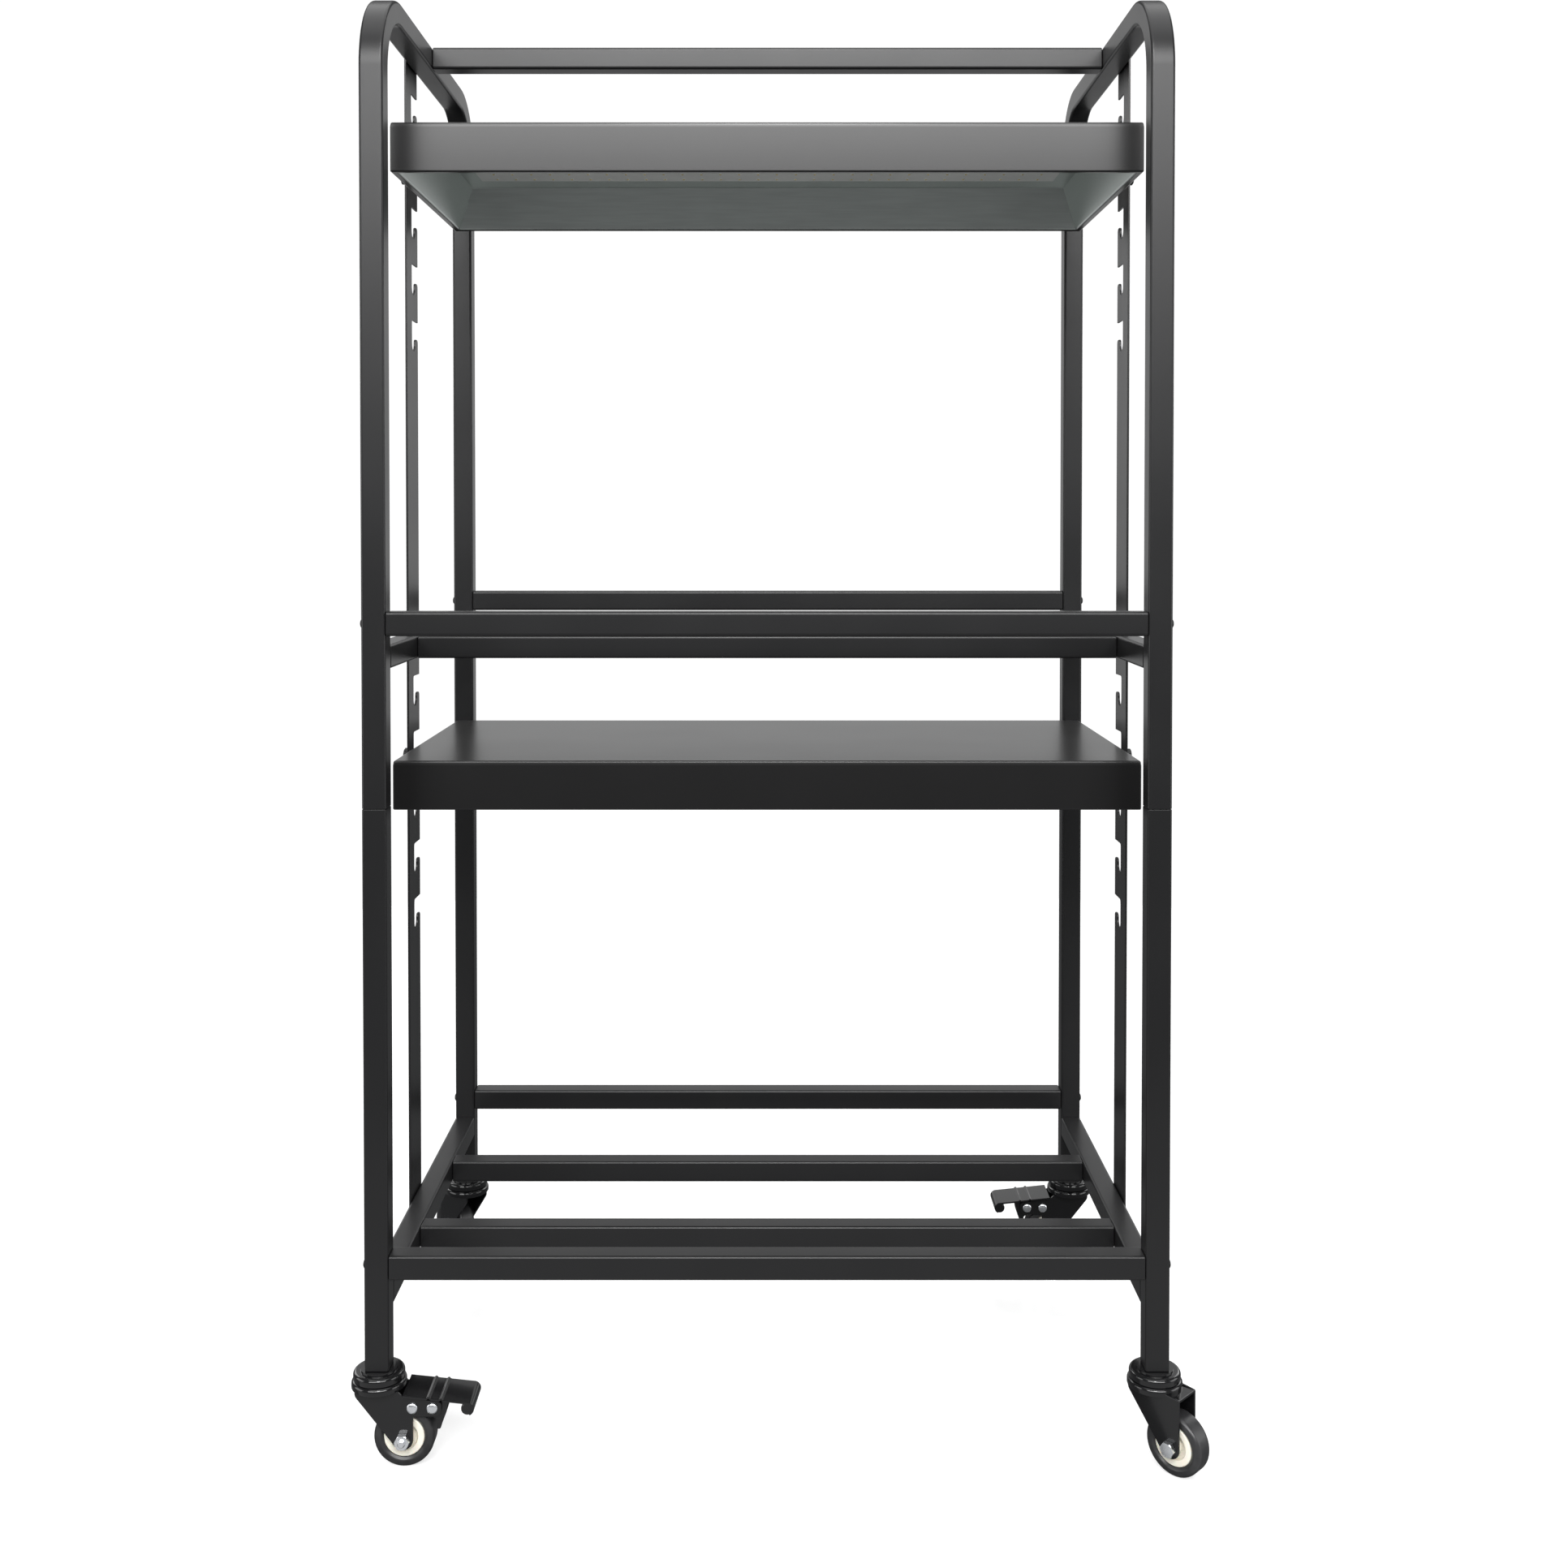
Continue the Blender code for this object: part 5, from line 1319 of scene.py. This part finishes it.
def build_stage(settings):
    """Pale floor, white surroundings, soft lights and the camera."""
    scene = bpy.context.scene
    bm = bmesh.new()
    bmesh.ops.create_circle(bm, cap_ends=True, segments=96, radius=FLOOR_RADIUS)
    floor = link_mesh("studio_floor", bm)
    floor.data.materials.append(floor_finish("studio_floor_matt", settings.floor_colour))
    floor.visible_diffuse = False
    floor.visible_glossy = False

    world = bpy.data.worlds.new("studio_white")
    scene.world = world
    world.use_nodes = True
    tree = world.node_tree
    seen = tree.nodes["Background"]
    seen.inputs["Color"].default_value = (1, 1, 1, 1)
    seen.inputs["Strength"].default_value = BACKGROUND_STRENGTH
    fill = tree.nodes.new("ShaderNodeBackground")
    fill.inputs["Color"].default_value = FILL_COLOUR
    fill.inputs["Strength"].default_value = FILL_STRENGTH
    path = tree.nodes.new("ShaderNodeLightPath")
    either = tree.nodes.new("ShaderNodeMixShader")
    tree.links.new(path.outputs["Is Camera Ray"], either.inputs["Fac"])
    tree.links.new(fill.outputs["Background"], either.inputs[1])
    tree.links.new(seen.outputs["Background"], either.inputs[2])
    tree.links.new(either.outputs["Shader"], tree.nodes["World Output"].inputs["Surface"])

    for light in LIGHTS:
        area_light(*light)

    camera = bpy.data.cameras.new("photo_camera")
    camera.sensor_width = 36
    camera.lens = CAMERA_LENS
    camera.shift_x, camera.shift_y = CAMERA_SHIFT
    viewer = bpy.data.objects.new("photo_camera", camera)
    viewer.location = CAMERA_PLACE
    viewer.rotation_euler = (CAMERA_TILT, 0, 0)
    scene.collection.objects.link(viewer)
    scene.camera = viewer
    scene.view_settings.view_transform = "Standard"


# Operators, one for each piece or group of like pieces

class PLANTSTAND_OT_side_frames(bpy.types.Operator):
    """Build the bent side tubes and the lower legs"""
    bl_idname = "plant_stand.side_frames"
    bl_label = "Side Frames"
    bl_options = {"REGISTER", "UNDO"}

    def execute(self, context):
        build_side_frames(context.scene.plant_stand)
        return {"FINISHED"}


class PLANTSTAND_OT_shelf_bars(bpy.types.Operator):
    """Build the rails and bars of both shelves and the top bar"""
    bl_idname = "plant_stand.shelf_bars"
    bl_label = "Shelf Bars"
    bl_options = {"REGISTER", "UNDO"}

    def execute(self, context):
        build_shelf_bars(context.scene.plant_stand)
        return {"FINISHED"}


class PLANTSTAND_OT_frame_fasteners(bpy.types.Operator):
    """Build the domed bolts and locating pins of the frame"""
    bl_idname = "plant_stand.frame_fasteners"
    bl_label = "Frame Fasteners"
    bl_options = {"REGISTER", "UNDO"}

    def execute(self, context):
        build_frame_fasteners(context.scene.plant_stand)
        return {"FINISHED"}


class PLANTSTAND_OT_side_strips(bpy.types.Operator):
    """Build the notched strips that carry the hoods"""
    bl_idname = "plant_stand.side_strips"
    bl_label = "Notched Strips"
    bl_options = {"REGISTER", "UNDO"}

    def execute(self, context):
        build_side_strips()
        return {"FINISHED"}


class PLANTSTAND_OT_hood_housings(bpy.types.Operator):
    """Build the folded housings of both light hoods"""
    bl_idname = "plant_stand.hood_housings"
    bl_label = "Hood Housings"
    bl_options = {"REGISTER", "UNDO"}

    def execute(self, context):
        build_hood_housings()
        return {"FINISHED"}


class PLANTSTAND_OT_reflectors(bpy.types.Operator):
    """Build the splayed reflectors inside the hoods"""
    bl_idname = "plant_stand.reflectors"
    bl_label = "Reflectors"
    bl_options = {"REGISTER", "UNDO"}

    def execute(self, context):
        build_reflectors()
        return {"FINISHED"}


class PLANTSTAND_OT_light_boards(bpy.types.Operator):
    """Build the light boards, their emitters and the drivers"""
    bl_idname = "plant_stand.light_boards"
    bl_label = "Light Boards"
    bl_options = {"REGISTER", "UNDO"}

    def execute(self, context):
        build_light_boards(context.scene.plant_stand)
        return {"FINISHED"}


class PLANTSTAND_OT_power_inlets(bpy.types.Operator):
    """Build the socket and switch mouldings behind the hoods"""
    bl_idname = "plant_stand.power_inlets"
    bl_label = "Power Inlets"
    bl_options = {"REGISTER", "UNDO"}

    def execute(self, context):
        build_power_inlets()
        return {"FINISHED"}


class PLANTSTAND_OT_switch_rockers(bpy.types.Operator):
    """Build the rockers of both switches"""
    bl_idname = "plant_stand.switch_rockers"
    bl_label = "Switch Rockers"
    bl_options = {"REGISTER", "UNDO"}

    def execute(self, context):
        build_switch_rockers()
        return {"FINISHED"}


class PLANTSTAND_OT_hanging_knobs(bpy.types.Operator):
    """Build the ribbed knobs that hang in the notches"""
    bl_idname = "plant_stand.hanging_knobs"
    bl_label = "Hanging Knobs"
    bl_options = {"REGISTER", "UNDO"}

    def execute(self, context):
        build_hanging_knobs(context.scene.plant_stand)
        return {"FINISHED"}


class PLANTSTAND_OT_caster_stems(bpy.types.Operator):
    """Build the fixed rings, seats and pins of the casters"""
    bl_idname = "plant_stand.caster_stems"
    bl_label = "Caster Rings"
    bl_options = {"REGISTER", "UNDO"}

    def execute(self, context):
        build_caster_stems()
        return {"FINISHED"}


class PLANTSTAND_OT_caster_forks(bpy.types.Operator):
    """Build the crowns and forks of the casters"""
    bl_idname = "plant_stand.caster_forks"
    bl_label = "Caster Forks"
    bl_options = {"REGISTER", "UNDO"}

    def execute(self, context):
        build_caster_forks()
        return {"FINISHED"}


class PLANTSTAND_OT_wheels(bpy.types.Operator):
    """Build the tyres and wheel cores"""
    bl_idname = "plant_stand.wheels"
    bl_label = "Wheels"
    bl_options = {"REGISTER", "UNDO"}

    def execute(self, context):
        build_wheels()
        return {"FINISHED"}


class PLANTSTAND_OT_axles(bpy.types.Operator):
    """Build the axle bolts and nuts"""
    bl_idname = "plant_stand.axles"
    bl_label = "Axles"
    bl_options = {"REGISTER", "UNDO"}

    def execute(self, context):
        build_axles()
        return {"FINISHED"}


class PLANTSTAND_OT_brake_pedals(bpy.types.Operator):
    """Build the pedals of the two braked casters"""
    bl_idname = "plant_stand.brake_pedals"
    bl_label = "Brake Pedals"
    bl_options = {"REGISTER", "UNDO"}

    def execute(self, context):
        build_brake_pedals()
        return {"FINISHED"}


class PLANTSTAND_OT_rivets(bpy.types.Operator):
    """Build the bright rivets of the braked casters"""
    bl_idname = "plant_stand.rivets"
    bl_label = "Rivets"
    bl_options = {"REGISTER", "UNDO"}

    def execute(self, context):
        build_rivets()
        return {"FINISHED"}


class PLANTSTAND_OT_stage(bpy.types.Operator):
    """Build the floor, the lights and the camera"""
    bl_idname = "plant_stand.stage"
    bl_label = "Stage"
    bl_options = {"REGISTER", "UNDO"}

    def execute(self, context):
        build_stage(context.scene.plant_stand)
        return {"FINISHED"}


OPERATORS = (
    PLANTSTAND_OT_side_frames,
    PLANTSTAND_OT_shelf_bars,
    PLANTSTAND_OT_frame_fasteners,
    PLANTSTAND_OT_side_strips,
    PLANTSTAND_OT_hood_housings,
    PLANTSTAND_OT_reflectors,
    PLANTSTAND_OT_light_boards,
    PLANTSTAND_OT_power_inlets,
    PLANTSTAND_OT_switch_rockers,
    PLANTSTAND_OT_hanging_knobs,
    PLANTSTAND_OT_caster_stems,
    PLANTSTAND_OT_caster_forks,
    PLANTSTAND_OT_wheels,
    PLANTSTAND_OT_axles,
    PLANTSTAND_OT_brake_pedals,
    PLANTSTAND_OT_rivets,
    PLANTSTAND_OT_stage,
)


class PLANTSTAND_PT_panel(bpy.types.Panel):
    """Settings and build steps of the plant stand."""
    bl_idname = "PLANTSTAND_PT_panel"
    bl_label = "Plant Stand"
    bl_space_type = "VIEW_3D"
    bl_region_type = "UI"
    bl_category = "Plant Stand"

    def draw(self, context):
        column = self.layout.column()
        settings = context.scene.plant_stand
        for name in settings.bl_rna.properties.keys():
            if name not in ("rna_type", "name"):
                column.prop(settings, name)
        for operator in OPERATORS:
            column.operator(operator.bl_idname)


CLASSES = (PlantStandSettings, *OPERATORS, PLANTSTAND_PT_panel)


def register():
    for part in CLASSES:
        bpy.utils.register_class(part)
    bpy.types.Scene.plant_stand = bpy.props.PointerProperty(type=PlantStandSettings)


def unregister():
    del bpy.types.Scene.plant_stand
    for part in reversed(CLASSES):
        bpy.utils.unregister_class(part)


def main():
    register()
    finishes.update(make_finishes(bpy.context.scene.plant_stand))
    for made in (bent_tube_tree(), domed_fastener_tree(), emitter_grid_tree(), grip_rib_tree()):
        trees[made.tree.name] = made
    stand = bpy.ops.plant_stand
    stand.side_frames()
    stand.shelf_bars()
    stand.frame_fasteners()
    stand.side_strips()
    stand.hood_housings()
    stand.reflectors()
    stand.light_boards()
    stand.power_inlets()
    stand.switch_rockers()
    stand.hanging_knobs()
    stand.caster_stems()
    stand.caster_forks()
    stand.wheels()
    stand.axles()
    stand.brake_pedals()
    stand.rivets()
    stand.stage()


if __name__ == "__main__":
    main()
